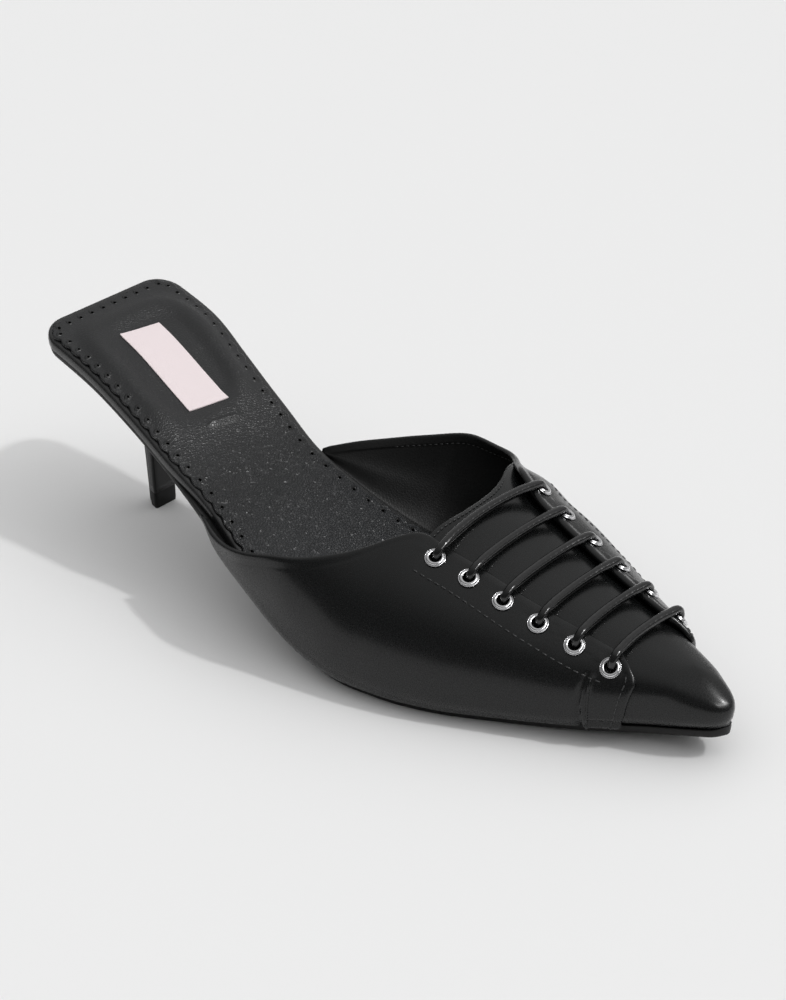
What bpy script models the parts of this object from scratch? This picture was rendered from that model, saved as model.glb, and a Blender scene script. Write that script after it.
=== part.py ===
"""Lace-up mule for the right foot, made of separate solids at real size.

Metres. The toe points to +X, the inner side of the foot is +Y and the floor is Z = 0.
Stations run from the back of the seat (0) to the tip of the sole (LENGTH). On each side a
width is a distance out from the axis Y = 0, and a height of the upper is taken from the
top of the outsole at its own station. The tables hold shares of the named sizes.
"""
import math

import bmesh
import bpy
import numpy as np

MM = 0.001
GAP = 0.3 * MM              # between pieces that touch on the real shoe

# The last
LENGTH = 250.0 * MM         # back of the seat to the tip of the sole, level
BALL_WIDTH = 82.4 * MM      # outsole across the ball
SEAT_HEIGHT = 67.4 * MM     # top of the insole at the back of the seat
INSTEP_HEIGHT = 43.6 * MM   # ridge of the vamp at the throat, above the outsole
TOE_SPRING = 8.2 * MM       # underside of the tip above the floor
SEAT_CORNER = 8.5 * MM      # plan radius of the two back corners
TOE_RADIUS = 4.0 * MM       # depth of the rounding at the tip

# Bottom
SOLE_FOREPART = 2.6 * MM    # outsole thickness from the ball to the tip
SOLE_SEAT = 5.2 * MM        # outsole with its covered band at the seat
SOLE_EDGE = 0.7 * MM        # rounding of the outsole's edge
SECTION_STEP = 9.0 * MM     # between the sections of a flat piece
SOLE_SETBACK = 0.8 * MM     # outsole band behind the insole's rim at the seat
RIM_BACK = 1.4 * MM         # insole's rim behind station 0
INSOLE_THICKNESS = 3.2 * MM
INSOLE_EDGE = 1.1 * MM
SOCK_THICKNESS = 0.9 * MM
SOCK_MARGIN = 3.4 * MM      # insole rim that shows round the sock
SOCK_LENGTH = 168.0 * MM
PAD_HEIGHT = 1.5 * MM       # ridge of the cushion under the heel end of the sock
PAD_DISH = 1.1 * MM         # its middle, below the ridge
PAD_LENGTH = 66.0 * MM

# Upper
WALL = 1.6 * MM             # vamp with its lining
QUARTER_STEP = 1.5 * MM     # quarter lying on the vamp
QUARTER_WALL = 2.1 * MM     # quarter alone, beside the collar
RISER = 0.7 * MM            # run of the step at the quarter's edge
OVERHANG_TIP = 0.5 * MM     # upper beyond the sole at the tip
FEATHER_INSET = 0.4 * MM    # foot of the wall inside the outsole's edge
FRONT_SLANT = 4.4 * MM      # quarter's front edge, further back at the sole
CORNER_ROUND = 6.5 * MM     # and at its rounded top corner
LIFT = 2.2 * MM             # inner quarter's corner standing off the vamp

# Heel
HEEL_TIP_HEIGHT = 5.7 * MM
HEEL_WIDTH = 9.4 * MM       # heel at the floor, across its front
HEEL_DEPTH = 7.4 * MM       # heel at the floor, front to back
HEEL_FRONT = 23.2 * MM      # station of the heel's front face at the floor
HEEL_ASIDE = 2.0 * MM       # its middle, to the inner side of the axis
TIP_SHARE = 0.97            # top piece, as a share of the heel's width

# Label
LABEL_LENGTH = 36.2 * MM
LABEL_WIDTH = 15.2 * MM
LABEL_THICKNESS = 0.4 * MM
LABEL_STANDOFF = 0.48 * MM  # above the cushion that it follows
LABEL_STATION = 37.4 * MM   # its middle
LABEL_ASIDE = 1.8 * MM      # its middle, to the outer side of the axis
LABEL_TURN = math.radians(8.2)

# Lacing
ROWS = 6
EYELET_RADIUS = 3.6 * MM
EYELET_HOLE = 2.05 * MM
EYELET_HEIGHT = 0.85 * MM
EYELET_STANDOFF = 0.4 * MM   # ring off the curved leather
EYELET_MARGIN = 5.0 * MM    # eyelet centre to the quarter's edge
FIRST_MARGIN = 7.3 * MM     # first pair ahead of the throat's edge
LAST_MARGIN = 7.2 * MM      # last pair behind the quarter's front edge
LACE_RADIUS = 1.6 * MM
LACE_SIDES = 8
LACE_STEPS = 12

OUTER = -1                  # lateral side, towards -Y
INNER = 1                   # medial side, towards +Y

# Underside: station share | rise share of the seat's underside
ARCH = (
    (0.00, 1.000), (0.10, 0.900), (0.18, 0.766), (0.26, 0.621), (0.34, 0.442),
    (0.42, 0.238), (0.48, 0.102), (0.53, 0.026), (0.575, 0.000), (0.67, 0.000), (1.00, 0.000),
)
FLAT_END = 0.67             # share where the toe spring starts
SPRING_POWER = 2.2

# Outsole's plan: station share | outer width | inner width, as shares of half the ball width
PLAN = (
    (0.00, 0.590, 0.736), (0.10, 0.655, 0.668), (0.18, 0.706, 0.544), (0.26, 0.786, 0.432),
    (0.32, 0.842, 0.418), (0.38, 0.910, 0.500), (0.44, 0.956, 0.624), (0.50, 0.990, 0.769),
    (0.56, 1.000, 0.910), (0.63, 0.962, 0.998), (0.69, 0.862, 0.932), (0.76, 0.672, 0.755),
    (0.84, 0.459, 0.505), (0.92, 0.236, 0.272), (1.00, 0.080, 0.090),
)

# Insets from the plan, as shares of the upper's wall: station share | insole | outsole's setback
INSETS = ((0.00, 0.0, 1.0), (0.24, 0.0, 1.0), (0.34, 1.0, 0.0), (1.00, 1.0, 0.0))

# Upper on each side: station share | belly out | belly up | belly lean | edge out | edge up |
# edge lean. Out is a share of half the ball width and up a share of INSTEP_HEIGHT. Lean is in
# degrees from upright, outward positive. The edge is the collar behind the throat and the
# quarter's lace edge before it.
WALLS = {
    OUTER: (
        (0.328, 0.866, 0.020, 35, 0.880, 0.050, 20), (0.380, 0.976, 0.095, 36, 1.002, 0.190, 12),
        (0.432, 1.045, 0.200, 18, 1.070, 0.415, 0), (0.488, 1.085, 0.275, 3, 1.042, 0.655, -22),
        (0.552, 1.092, 0.275, 0, 0.818, 0.822, -50), (0.618, 1.048, 0.240, 0, 0.400, 0.945, -68),
        (0.648, 1.008, 0.232, 0, 0.375, 0.895, -72), (0.690, 0.938, 0.222, 0, 0.350, 0.832, -75),
        (0.760, 0.764, 0.212, 0, 0.312, 0.700, -75), (0.830, 0.572, 0.197, 0, 0.250, 0.560, -72),
        (0.900, 0.366, 0.172, 0, 0.200, 0.415, -68), (0.944, 0.244, 0.155, 0, 0.140, 0.315, -66),
    ),
    INNER: (
        (0.328, 0.430, 0.020, 35, 0.445, 0.052, 30), (0.380, 0.590, 0.125, 42, 0.698, 0.290, 34),
        (0.432, 0.778, 0.215, 35, 0.912, 0.520, 22), (0.488, 0.972, 0.290, 20, 1.072, 0.735, 2),
        (0.552, 1.058, 0.295, 3, 1.005, 0.855, -28), (0.618, 1.066, 0.262, 0, 0.600, 0.945, -62),
        (0.648, 1.040, 0.250, 0, 0.520, 0.900, -70), (0.690, 1.002, 0.238, 0, 0.465, 0.838, -75),
        (0.760, 0.832, 0.220, 0, 0.395, 0.700, -75), (0.830, 0.618, 0.197, 0, 0.335, 0.560, -72),
        (0.900, 0.402, 0.172, 0, 0.270, 0.415, -68), (0.944, 0.264, 0.155, 0, 0.180, 0.315, -66),
    ),
}
BACK_END = 0.328            # share where the quarters come out from under the insole
THROAT = 0.618              # share of the throat's edge
QUARTER_END = 0.906         # share of the quarter's front edge, at the top
TOE_PIVOT = 0.944           # share of the last plain section
FEATHER_ANGLE = math.radians(35)
FULLNESS = 1.10

# Ridge of the vamp: station share | aside (share of half the ball width, inward) | height share
RIDGE = (
    (0.618, 0.078, 1.000), (0.650, 0.072, 0.968), (0.690, 0.062, 0.880), (0.740, 0.054, 0.775),
    (0.800, 0.046, 0.655), (0.870, 0.044, 0.515), (0.944, 0.036, 0.350),
)

# Heel: height share | front forward | back rearward | front width | back width, the moves as
# shares of HEEL_DEPTH and the widths as shares of HEEL_WIDTH
HEEL = (
    (0.00, 0.00, 0.00, 1.00, 0.42), (0.25, -0.07, 0.05, 0.92, 0.42), (0.55, -0.19, 0.16, 0.83, 0.44),
    (0.78, -0.26, 0.32, 0.80, 0.54), (0.90, -0.27, 0.62, 0.84, 0.72), (0.97, -0.25, 1.05, 0.96, 1.05),
    (1.00, -0.22, 1.45, 1.08, 1.40),
)

COLOURS = {                 # base colour, roughness, metallic
    "upper_leather": ((0.012, 0.012, 0.013), 0.34, 0.0),
    "outsole": ((0.014, 0.014, 0.014), 0.55, 0.0),
    "insole_cover": ((0.013, 0.013, 0.014), 0.42, 0.0),
    "sock_lining": ((0.016, 0.016, 0.017), 0.50, 0.0),
    "label": ((0.93, 0.83, 0.85), 0.55, 0.0),
    "heel": ((0.012, 0.012, 0.013), 0.36, 0.0),
    "heel_tip": ((0.010, 0.010, 0.010), 0.60, 0.0),
    "eyelet": ((0.78, 0.78, 0.80), 0.22, 1.0),
    "lace": ((0.010, 0.010, 0.011), 0.45, 0.0),
}


def column(rows, index, spread=0.010):
    """Smooth function of the station share through one column of a table."""
    xs = np.array([row[0] for row in rows])
    ys = np.array([row[index] for row in rows])
    rates = np.diff(ys) / np.diff(xs)
    slopes = np.concatenate([rates[:1], rates[1:], rates[-1:]])
    for i in range(1, len(xs) - 1):
        same_way = rates[i - 1] * rates[i] > 0
        slopes[i] = 2 * rates[i - 1] * rates[i] / (rates[i - 1] + rates[i]) if same_way else 0.0

    def exact(x):
        i = np.clip(np.searchsorted(xs, x) - 1, 0, len(xs) - 2)
        step = xs[i + 1] - xs[i]
        t = (x - xs[i]) / step
        inside = np.clip(t, 0, 1)
        a, b = inside ** 2 * (3 - 2 * inside), inside * (1 - inside)
        curve = ys[i] * (1 - a) + ys[i + 1] * a + step * b * (
            slopes[i] * (1 - inside) - slopes[i + 1] * inside)
        beyond = step * (np.minimum(t, 0) * slopes[0] + np.maximum(t - 1, 0) * slopes[-1])
        return curve + beyond

    def value(x):
        x = np.asarray(x, dtype=float)
        return sum(exact(x + spread * k) for k in (-1, -0.5, 0, 0.5, 1)) / 5
    return value


HALF_BALL = BALL_WIDTH / 2
arch = column(ARCH, 1)
plan = {OUTER: column(PLAN, 1), INNER: column(PLAN, 2)}
insole_inset = column(INSETS, 1)
sole_setback = column(INSETS, 2)
wall_columns = {side: [column(rows, i) for i in range(1, 7)] for side, rows in WALLS.items()}
ridge_aside = column(RIDGE, 1)
ridge_up = column(RIDGE, 2)


def sole_thickness(s):
    """Outsole from its covered band at the seat to the thin forepart."""
    return SOLE_FOREPART + (SOLE_SEAT - SOLE_FOREPART) * np.clip(arch(s / LENGTH) * 1.6, 0, 1)


def underside(s):
    """Height of the outsole's underside: seat, shank, a flat at the ball, then toe spring."""
    seat = SEAT_HEIGHT - INSOLE_THICKNESS - GAP - SOLE_SEAT
    ahead = np.maximum(s / LENGTH - FLAT_END, 0) / (1 - FLAT_END)
    return seat * arch(s / LENGTH) + TOE_SPRING * ahead ** SPRING_POWER


def sole_top(s):
    return underside(s) + sole_thickness(s)


def insole_top(s):
    return sole_top(s) + GAP + INSOLE_THICKNESS


def outline(side, s):
    """Distance of the plan's edge from the axis, rounded at the back corners and the tip."""
    width = plan[side](s / LENGTH) * HALF_BALL
    back = np.clip(SEAT_CORNER - s, 0, SEAT_CORNER)
    width = width - SEAT_CORNER + np.sqrt(SEAT_CORNER ** 2 - back ** 2)
    ahead = np.clip((s - LENGTH) / TOE_RADIUS + 1, 0, 1)
    return width * np.sqrt(1 - ahead ** 2)


def arc(start, start_angle, end, end_angle, t):
    """Points at shares t of a full curve between two points, given its direction at each."""
    run, rise = end[0] - start[0], end[1] - start[1]
    turn = np.maximum(np.abs(end_angle - start_angle), 0.01)
    handle = FULLNESS * np.hypot(run, rise) * (2 / 3) * np.tan(turn / 4) / np.sin(turn / 2)
    p1 = (start[0] + handle * np.cos(start_angle), start[1] + handle * np.sin(start_angle))
    p2 = (end[0] - handle * np.cos(end_angle), end[1] - handle * np.sin(end_angle))
    b0, b1, b2, b3 = (1 - t) ** 3, 3 * t * (1 - t) ** 2, 3 * t * t * (1 - t), t ** 3
    return tuple(b0 * start[i] + b1 * p1[i] + b2 * p2[i] + b3 * end[i] for i in (0, 1))


def half_section(side, s, u):
    """Out and up on one half of a section: u runs 0 feather, 1 belly, 2 edge, 3 ridge."""
    share = s / LENGTH
    table = [f(share) for f in wall_columns[side]]
    feather = (outline(side, s) - FEATHER_INSET, 0 * s)
    belly = (table[0] * HALF_BALL, table[1] * INSTEP_HEIGHT)
    edge = (table[3] * HALF_BALL, table[4] * INSTEP_HEIGHT)
    ridge = (side * ridge_aside(share) * HALF_BALL, ridge_up(share) * INSTEP_HEIGHT)
    belly_angle = np.radians(90 - table[2])
    edge_angle = np.radians(90 - table[5])
    level = np.full_like(share, math.pi)
    parts = (
        arc(feather, FEATHER_ANGLE, belly, belly_angle, np.clip(u, 0, 1)),
        arc(belly, belly_angle, edge, edge_angle, np.clip(u - 1, 0, 1)),
        arc(edge, edge_angle, ridge, level, np.clip(u - 2, 0, 1)),
    )
    pick = [u < 1, u < 2]
    return tuple(np.select(pick, [parts[0][i], parts[1][i]], parts[2][i]) for i in (0, 1))


def wall_point(side, s, u):
    """Point of the upper's base surface on one side, on the plain part of the last."""
    out, up = half_section(side, s, u)
    return np.stack([s - LENGTH / 2, side * out, sole_top(s) + GAP + up], axis=-1)


def plan_radius(angle):
    """Distance from the toe's pivot to the plan's edge, along a level direction."""
    pivot = TOE_PIVOT * LENGTH
    aside = ridge_aside(TOE_PIVOT) * HALF_BALL
    side = INNER if angle > 0 else OUTER
    low, high = 0.0, LENGTH - pivot
    for _ in range(40):
        middle = (low + high) / 2
        s = pivot + middle * math.cos(angle)
        inside = side * (aside + middle * math.sin(angle)) < outline(side, min(s, LENGTH)) - FEATHER_INSET
        low, high = (middle, high) if inside else (low, middle)
    return low


def toe_point(angle, u):
    """Point of the toe: the last section is turned round the ridge from side to side."""
    pivot = TOE_PIVOT * LENGTH
    sides = {side: half_section(side, pivot, u) for side in (OUTER, INNER)}
    ridge = {side: half_section(side, pivot, 3.0) for side in (OUTER, INNER)}
    feather = {side: half_section(side, pivot, 0.0) for side in (OUTER, INNER)}
    belly = {side: half_section(side, pivot, 1.0) for side in (OUTER, INNER)}
    inner = (1 + math.sin(angle)) / 2
    share = {OUTER: 1 - inner, INNER: inner}
    top = sum(share[k] * ridge[k][1] for k in share)
    up = sum(share[k] * sides[k][1] for k in share)
    reach = sum(share[k] * (sides[k][0] - ridge[k][0]) / (belly[k][0] - ridge[k][0]) for k in share)
    tuck = sum(share[k] * (sides[k][0] - feather[k][0]) / (belly[k][0] - feather[k][0]) for k in share)
    overhang = sum(share[k] * (belly[k][0] - feather[k][0]) for k in share)
    overhang = OVERHANG_TIP + (overhang - OVERHANG_TIP) * abs(math.sin(angle))
    edge = plan_radius(angle)
    radius = edge + overhang * tuck if u < 1 else (edge + overhang) * reach
    s = pivot + radius * math.cos(angle)
    height = up / top
    z = (sole_top(s) + GAP) * (1 - height) + (sole_top(pivot) + GAP + top) * height
    step = 1 * MM
    slope = (wall_point(INNER, np.array(pivot), 3.0) - wall_point(INNER, np.array(pivot - step), 3.0))[2] / step
    if u >= 1:
        z = z + slope * math.cos(angle) * radius * (1 - reach ** 2)
    aside = ridge_aside(TOE_PIVOT) * HALF_BALL
    return np.array([s - LENGTH / 2, aside + radius * math.sin(angle), z])


def blend(x, low, high):
    """Smooth step from 0 at low to 1 at high."""
    t = np.clip((x - low) / (high - low), 0, 1)
    return t * t * (3 - 2 * t)


def quarter_raise(side, s):
    """How far the quarter stands out from the base surface."""
    corner = THROAT * LENGTH
    lift = LIFT * np.exp(-((s - corner) / (9 * MM)) ** 2) if side == INNER else 0 * s
    return QUARTER_STEP + lift


def lining_depth(s):
    """Inner face below the base surface: thin beside the collar, the vamp's wall ahead of it."""
    beside_collar = QUARTER_WALL - QUARTER_STEP
    return beside_collar + (WALL - beside_collar) * blend(s, (THROAT - 0.03) * LENGTH, THROAT * LENGTH)


def material(name):
    """One finish as a Principled material."""
    colour, roughness, metallic = COLOURS[name]
    made = bpy.data.materials.get(name) or bpy.data.materials.new(name)
    made.use_nodes = True
    shader = made.node_tree.nodes["Principled BSDF"]
    shader.inputs["Base Color"].default_value = (*colour, 1)
    shader.inputs["Roughness"].default_value = roughness
    shader.inputs["Metallic"].default_value = metallic
    return made


def add_object(name, verts, faces, finish):
    """Link a closed mesh into the scene, shaded smooth with its sharp edges kept."""
    mesh = bpy.data.meshes.new(name)
    mesh.from_pydata([tuple(float(c) for c in v) for v in verts], [], faces)
    work = bmesh.new()
    work.from_mesh(mesh)
    bmesh.ops.recalc_face_normals(work, faces=work.faces)
    work.to_mesh(mesh)
    work.free()
    mesh.materials.append(material(finish))
    mesh.shade_smooth()
    mesh.set_sharp_from_angle(angle=math.radians(40))
    made = bpy.data.objects.new(name, mesh)
    bpy.context.scene.collection.objects.link(made)
    return made


def loft(name, loops, finish, ring=False):
    """Solid through loops of equal count: capped at both ends, or closed on itself as a ring."""
    count = len(loops[0])
    verts = [point for loop in loops for point in loop]
    faces = []
    last = len(loops) if ring else len(loops) - 1
    for i in range(last):
        a, b = i * count, (i + 1) % len(loops) * count
        for j in range(count):
            k = (j + 1) % count
            faces.append((a + j, a + k, b + k, b + j))
    if not ring:
        faces.append(tuple(range(count))[::-1])
        faces.append(tuple(range(len(verts) - count, len(verts))))
    return add_object(name, verts, faces, finish)


def plan_stations(back, front, spacing):
    """Stations of a flat piece and where each lies: both ends may be drawn in from the plan's."""
    corner = [SEAT_CORNER * (1 - math.cos(math.radians(a))) for a in range(0, 90, 18)]
    tip = [LENGTH - TOE_RADIUS * (1 - math.sin(math.radians(a))) for a in (0, 30, 55, 75, 86)]
    flat = [0.60 * LENGTH, 0.65 * LENGTH]
    count = round((LENGTH - TOE_RADIUS - SEAT_CORNER) / spacing)
    middle = [s for s in np.linspace(SEAT_CORNER, LENGTH - TOE_RADIUS, count, endpoint=False)
              if all(abs(s - f) > spacing * 0.4 for f in flat) and not flat[0] < s < flat[1]]
    stations = sorted(corner + list(middle) + flat + tip)
    third = LENGTH / 3
    return [(s, s + back * max(1 - s / third, 0) - (LENGTH - front) * max(1 - (LENGTH - s) / third, 0))
            for s in stations]


def plate_loop(x, outs, low, high, edge):
    """Cross-section of a flat piece with rounded edges, at one station."""
    loop = []
    for side in (INNER, OUTER):
        out = outs[side]
        round_off = min(edge, 0.4 * out, 0.4 * (high - low))
        corners = [(out - round_off, high), (out, high - round_off), (out, low + round_off), (out - round_off, low)]
        loop += [(x, side * y, z) for y, z in (corners if side == INNER else corners[::-1])]
    return loop


def make_outsole():
    """Outsole from the seat's covered band to the tip, flat under the ball."""
    loops = []
    for s, x in plan_stations(SOLE_SETBACK - RIM_BACK, LENGTH, SECTION_STEP):
        outs = {side: outline(side, s) - SOLE_SETBACK * sole_setback(s / LENGTH) for side in (OUTER, INNER)}
        loops.append(plate_loop(x - LENGTH / 2, outs, underside(x), sole_top(x), SOLE_EDGE))
    return loft("outsole", loops, "outsole")


def insole_out(side, s):
    """Insole's edge: the plan at the seat, inside the upper's wall ahead of it."""
    return outline(side, s) - (FEATHER_INSET + QUARTER_WALL + 3 * GAP) * insole_inset(s / LENGTH)


def make_insole():
    """Wrapped board under the foot, whose rim shows round the seat."""
    loops = []
    front = LENGTH - 2 * QUARTER_WALL - TOE_RADIUS / 2
    for s, x in plan_stations(-RIM_BACK, front, SECTION_STEP):
        outs = {side: max(insole_out(side, s), 0.5 * MM) for side in (OUTER, INNER)}
        loops.append(plate_loop(x - LENGTH / 2, outs, sole_top(x) + GAP, insole_top(x), INSOLE_EDGE))
    return loft("insole", loops, "insole_cover")


def sock_height(s, across):
    """Top of the sock, with the cushion's soft ridge round its dished middle. Across is -1 to 1."""
    middle = PAD_LENGTH / 2 + SOCK_MARGIN
    ring = ((np.abs(s - middle) / (PAD_LENGTH / 2)) ** 4 + np.abs(across) ** 4) ** 0.25
    cushion = PAD_HEIGHT * blend(1 - ring, 0.0, 0.24) - PAD_DISH * blend(0.74 - ring, 0.0, 0.24)
    return insole_top(s) + GAP + SOCK_THICKNESS + cushion


def make_sock():
    """Sock lining on the insole, from the seat to its round end under the vamp."""
    shares = [0.0, 0.012, 0.04, 0.08] + [k / 20 for k in range(3, 19)] + [0.94, 0.97, 0.99]
    across = (-1, -0.88, -0.76, -0.62, -0.5, -0.25, 0, 0.25, 0.5, 0.62, 0.76, 0.88, 1)
    loops = []
    for share in shares:
        s = SOCK_MARGIN - RIM_BACK + share * (SOCK_LENGTH - SOCK_MARGIN)
        corner = SEAT_CORNER - SOCK_MARGIN
        back = max(corner - share * SOCK_LENGTH, 0)
        narrowing = corner - math.sqrt(corner ** 2 - back ** 2)
        ahead = max(share - 0.9, 0) / 0.1
        outs = {side: (insole_out(side, max(s, SEAT_CORNER)) - SOCK_MARGIN - narrowing)
                * math.sqrt(1 - ahead ** 2) for side in (OUTER, INNER)}
        centre, half = (outs[INNER] - outs[OUTER]) / 2, (outs[INNER] + outs[OUTER]) / 2
        x, low = s - LENGTH / 2, insole_top(s) + GAP
        loop = [(x, centre + half * a, sock_height(s, a)) for a in across]
        loop += [(x, centre + half, low), (x, centre - half, low)]
        loops.append(loop)
    return loft("sock", loops, "sock_lining")


def make_label():
    """Bare oblong label on the sock's cushion, following its surface."""
    loops = []
    for i in range(9):
        along = (i / 8 - 0.5) * LABEL_LENGTH
        rows = []
        for aside in (-0.5, -0.17, 0.17, 0.5):
            across = aside * LABEL_WIDTH
            s = LABEL_STATION + along * math.cos(LABEL_TURN) + across * math.sin(LABEL_TURN)
            y = -LABEL_ASIDE - along * math.sin(LABEL_TURN) + across * math.cos(LABEL_TURN)
            outs = [insole_out(side, s) - SOCK_MARGIN for side in (OUTER, INNER)]
            share = (y - (outs[1] - outs[0]) / 2) / ((outs[0] + outs[1]) / 2)
            rows.append((s - LENGTH / 2, y, sock_height(s, share) + LABEL_STANDOFF))
        top = [(x, y, z + LABEL_THICKNESS) for x, y, z in rows]
        loops.append(rows + top[::-1])
    return loft("label", loops, "label")


def heel_section(share):
    """Front station, back station and half widths of the heel at a height share."""
    front, back, wide, narrow = (column(HEEL, i, 0.0)(share) for i in range(1, 5))
    start = HEEL_FRONT + front * HEEL_DEPTH
    end = HEEL_FRONT - HEEL_DEPTH - back * HEEL_DEPTH
    return start, end, wide * HEEL_WIDTH / 2, narrow * HEEL_WIDTH / 2


def heel_plan(share):
    """Loop of one heel section: a flat front with small corners and a rounded back."""
    front, back, wide, narrow = heel_section(share)
    corner = 0.14 * wide
    half = [(front, wide - corner), (front - corner, wide)]
    depth = front - corner - back
    half += [(front - corner - depth * 0.45, wide + (narrow - wide) * 0.36)]
    bulge = narrow * 0.9
    half += [(back + bulge * (1 - math.sin(math.radians(a))), narrow * math.cos(math.radians(a)))
             for a in (0, 30, 60, 85)]
    loop = [(s, y) for s, y in half] + [(s, -y) for s, y in half[::-1]]
    return [(s - LENGTH / 2, HEEL_ASIDE + y) for s, y in loop]


def make_heel():
    """Slim covered heel, curving back into the seat, with its tip as a separate piece."""
    shares = (0.0, 0.12, 0.25, 0.40, 0.55, 0.68, 0.78, 0.85, 0.90, 0.94, 0.97, 0.985, 1.0)
    floor = HEEL_TIP_HEIGHT + GAP
    loops = []
    for share in shares:
        loop = []
        for x, y in heel_plan(share):
            ceiling = underside(x + LENGTH / 2) - GAP
            loop.append((x, y, floor + (ceiling - floor) * share))
        loops.append(loop)
    heel = loft("heel", loops, "heel")
    tip = [[(x, HEEL_ASIDE + (y - HEEL_ASIDE) * TIP_SHARE, z) for x, y in heel_plan(0.0)]
           for z in (0.0, HEEL_TIP_HEIGHT)]
    return [heel, loft("heel_tip", tip, "heel_tip")]


def front_setback(u):
    """Quarter's front edge behind its foremost point: slanting below, rounded at the top."""
    return FRONT_SLANT * np.clip(1 - u / 1.6, 0, 1) + CORNER_ROUND * np.clip((u - 1.6) / 0.4, 0, 1) ** 2


def front_weight(s):
    """How much of the front edge's setback the section at a station takes."""
    end, pivot = QUARTER_END * LENGTH, TOE_PIVOT * LENGTH
    behind = np.clip(1 - (end - s) / (24 * MM), 0, 1)
    ahead = np.clip((pivot - s) / (pivot - end - RISER), 0, 1)
    return float(min(behind, ahead))


def upper_grid():
    """Base surface of the upper: points, faces, how far each stands out, lining depth and feet."""
    rise = (0.0, 0.45, 1.0, 1.22, 1.45, 1.68, 1.86, 2.0)
    over = (2.0, 2.30, 2.65, 3.0)
    throat, pivot, end = THROAT * LENGTH, TOE_PIVOT * LENGTH, QUARTER_END * LENGTH
    behind = list(np.linspace(BACK_END * LENGTH, throat, 15))
    ahead = list(np.linspace(throat, end, 12))[1:]
    front = [(end + RISER, False), ((end + pivot) / 2 + RISER, False), (pivot, False)]
    stations = [(s, True) for s in behind + ahead] + front
    verts, stand, depth, faces = [], [], [], []
    index = {}

    def place(key, point, out, lining):
        index[key] = len(verts)
        verts.append(point)
        stand.append(out)
        depth.append(lining)

    for i, (s, quarter) in enumerate(stations):
        for side in (OUTER, INNER):
            for j, u in enumerate(rise):
                at = np.array(s - front_setback(u) * front_weight(s))
                place((i, side, j), wall_point(side, at, u), quarter_raise(side, s) if quarter else 0.0,
                      float(lining_depth(s)))
            if s >= throat:
                edge, ridge = (wall_point(side, np.array(s), u) for u in (2.0, 3.0))
                step = RISER / np.linalg.norm(ridge - edge)
                for j, u in enumerate(over):
                    u = 2 + step if j == 0 else u
                    back = front_setback(2.0) * front_weight(s) * (3 - u)
                    if j == len(over) - 1 and side == INNER:
                        index[(i, side, len(rise) + j)] = index[(i, OUTER, len(rise) + j)]
                    else:
                        place((i, side, len(rise) + j), wall_point(side, np.array(s - back), u), 0.0,
                              float(lining_depth(s)))
    columns = len(rise) + len(over)
    for i in range(len(stations) - 1):
        last = columns if stations[i][0] >= throat else len(rise)
        for side in (OUTER, INNER):
            for j in range(last - 1):
                a, b = index[(i, side, j)], index[(i, side, j + 1)]
                c, d = index[(i + 1, side, j + 1)], index[(i + 1, side, j)]
                faces.append((a, b, c, d))
    final = len(stations) - 1
    marks = list(rise) + list(over)
    angles = [math.radians(a) for a in range(-75, 90, 15)]
    meridians = [[index[(final, OUTER, j)] for j in range(columns)]]
    pole = index[(final, OUTER, columns - 1)]
    for angle in angles:
        line = []
        for j, u in enumerate(marks[:-1]):
            u = 2.08 if j == len(rise) else u
            line.append(len(verts))
            verts.append(toe_point(angle, u))
            stand.append(0.0)
            depth.append(WALL)
        meridians.append(line + [pole])
    meridians.append([index[(final, INNER, j)] for j in range(columns)])
    for left, right in zip(meridians, meridians[1:]):
        for j in range(columns - 2):
            faces.append((left[j], left[j + 1], right[j + 1], right[j]))
        faces.append((left[-2], pole, right[-2]))
    feet = [line[0] for line in meridians] + [index[key] for key in index if key[2] == 0]
    return np.array(verts), faces, np.array(stand), np.array(depth), sorted(set(feet))


def oriented(verts, faces):
    """Faces turned to one side of the sheet, and the outward normal at each point."""
    mesh = bpy.data.meshes.new("sheet")
    mesh.from_pydata([tuple(float(c) for c in v) for v in verts], [], faces)
    work = bmesh.new()
    work.from_mesh(mesh)
    bmesh.ops.recalc_face_normals(work, faces=work.faces)
    work.normal_update()
    work.verts.ensure_lookup_table()
    turned = [tuple(v.index for v in face.verts) for face in work.faces]
    normals = np.array([tuple(v.normal) for v in work.verts])
    rim = [(loop.vert.index, loop.link_loop_next.vert.index)
           for face in work.faces for loop in face.loops if len(loop.edge.link_faces) == 1]
    work.free()
    bpy.data.meshes.remove(mesh)
    top = int(np.argmax(verts[:, 2]))
    if normals[top][2] < 0:
        turned = [face[::-1] for face in turned]
        normals = -normals
        rim = [(b, a) for a, b in rim]
    return turned, normals, rim


def make_upper():
    """Hollow upper: vamp and toe in one wall, with both quarters as steps on it."""
    verts, faces, stand, depth, feet = upper_grid()
    faces, normals, rim = oriented(verts, faces)
    outer = verts + normals * stand[:, None]
    inner = verts - normals * depth[:, None]
    level = normals * (1, 1, 0)
    for i in feet:
        inner[i] = verts[i] - level[i] / np.linalg.norm(level[i]) * QUARTER_WALL
    floor = np.array([sole_top(min(x + LENGTH / 2, LENGTH)) + GAP for x in outer[:, 0]])
    outer[:, 2] = np.maximum(outer[:, 2], floor)
    inner[:, 2] = np.maximum(inner[:, 2], floor)
    count = len(verts)
    solid = list(faces)
    solid += [tuple(count + k for k in face[::-1]) for face in faces]
    solid += [(b, a, count + a, count + b) for a, b in rim]
    return add_object("upper", np.concatenate([outer, inner]), solid, "upper_leather")


def quarter_point(side, s, u):
    """Point on the quarter's outer face, standing out from the base surface."""
    here, above, ahead = (wall_point(side, np.array(s + ds), u + du)
                          for ds, du in ((0, 0), (0, 0.02), (1 * MM, 0)))
    out = np.cross(above - here, ahead - here)
    out = out * (1 if out[2] > 0 else -1)
    return here + out / np.linalg.norm(out) * quarter_raise(side, np.array(s))


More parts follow.
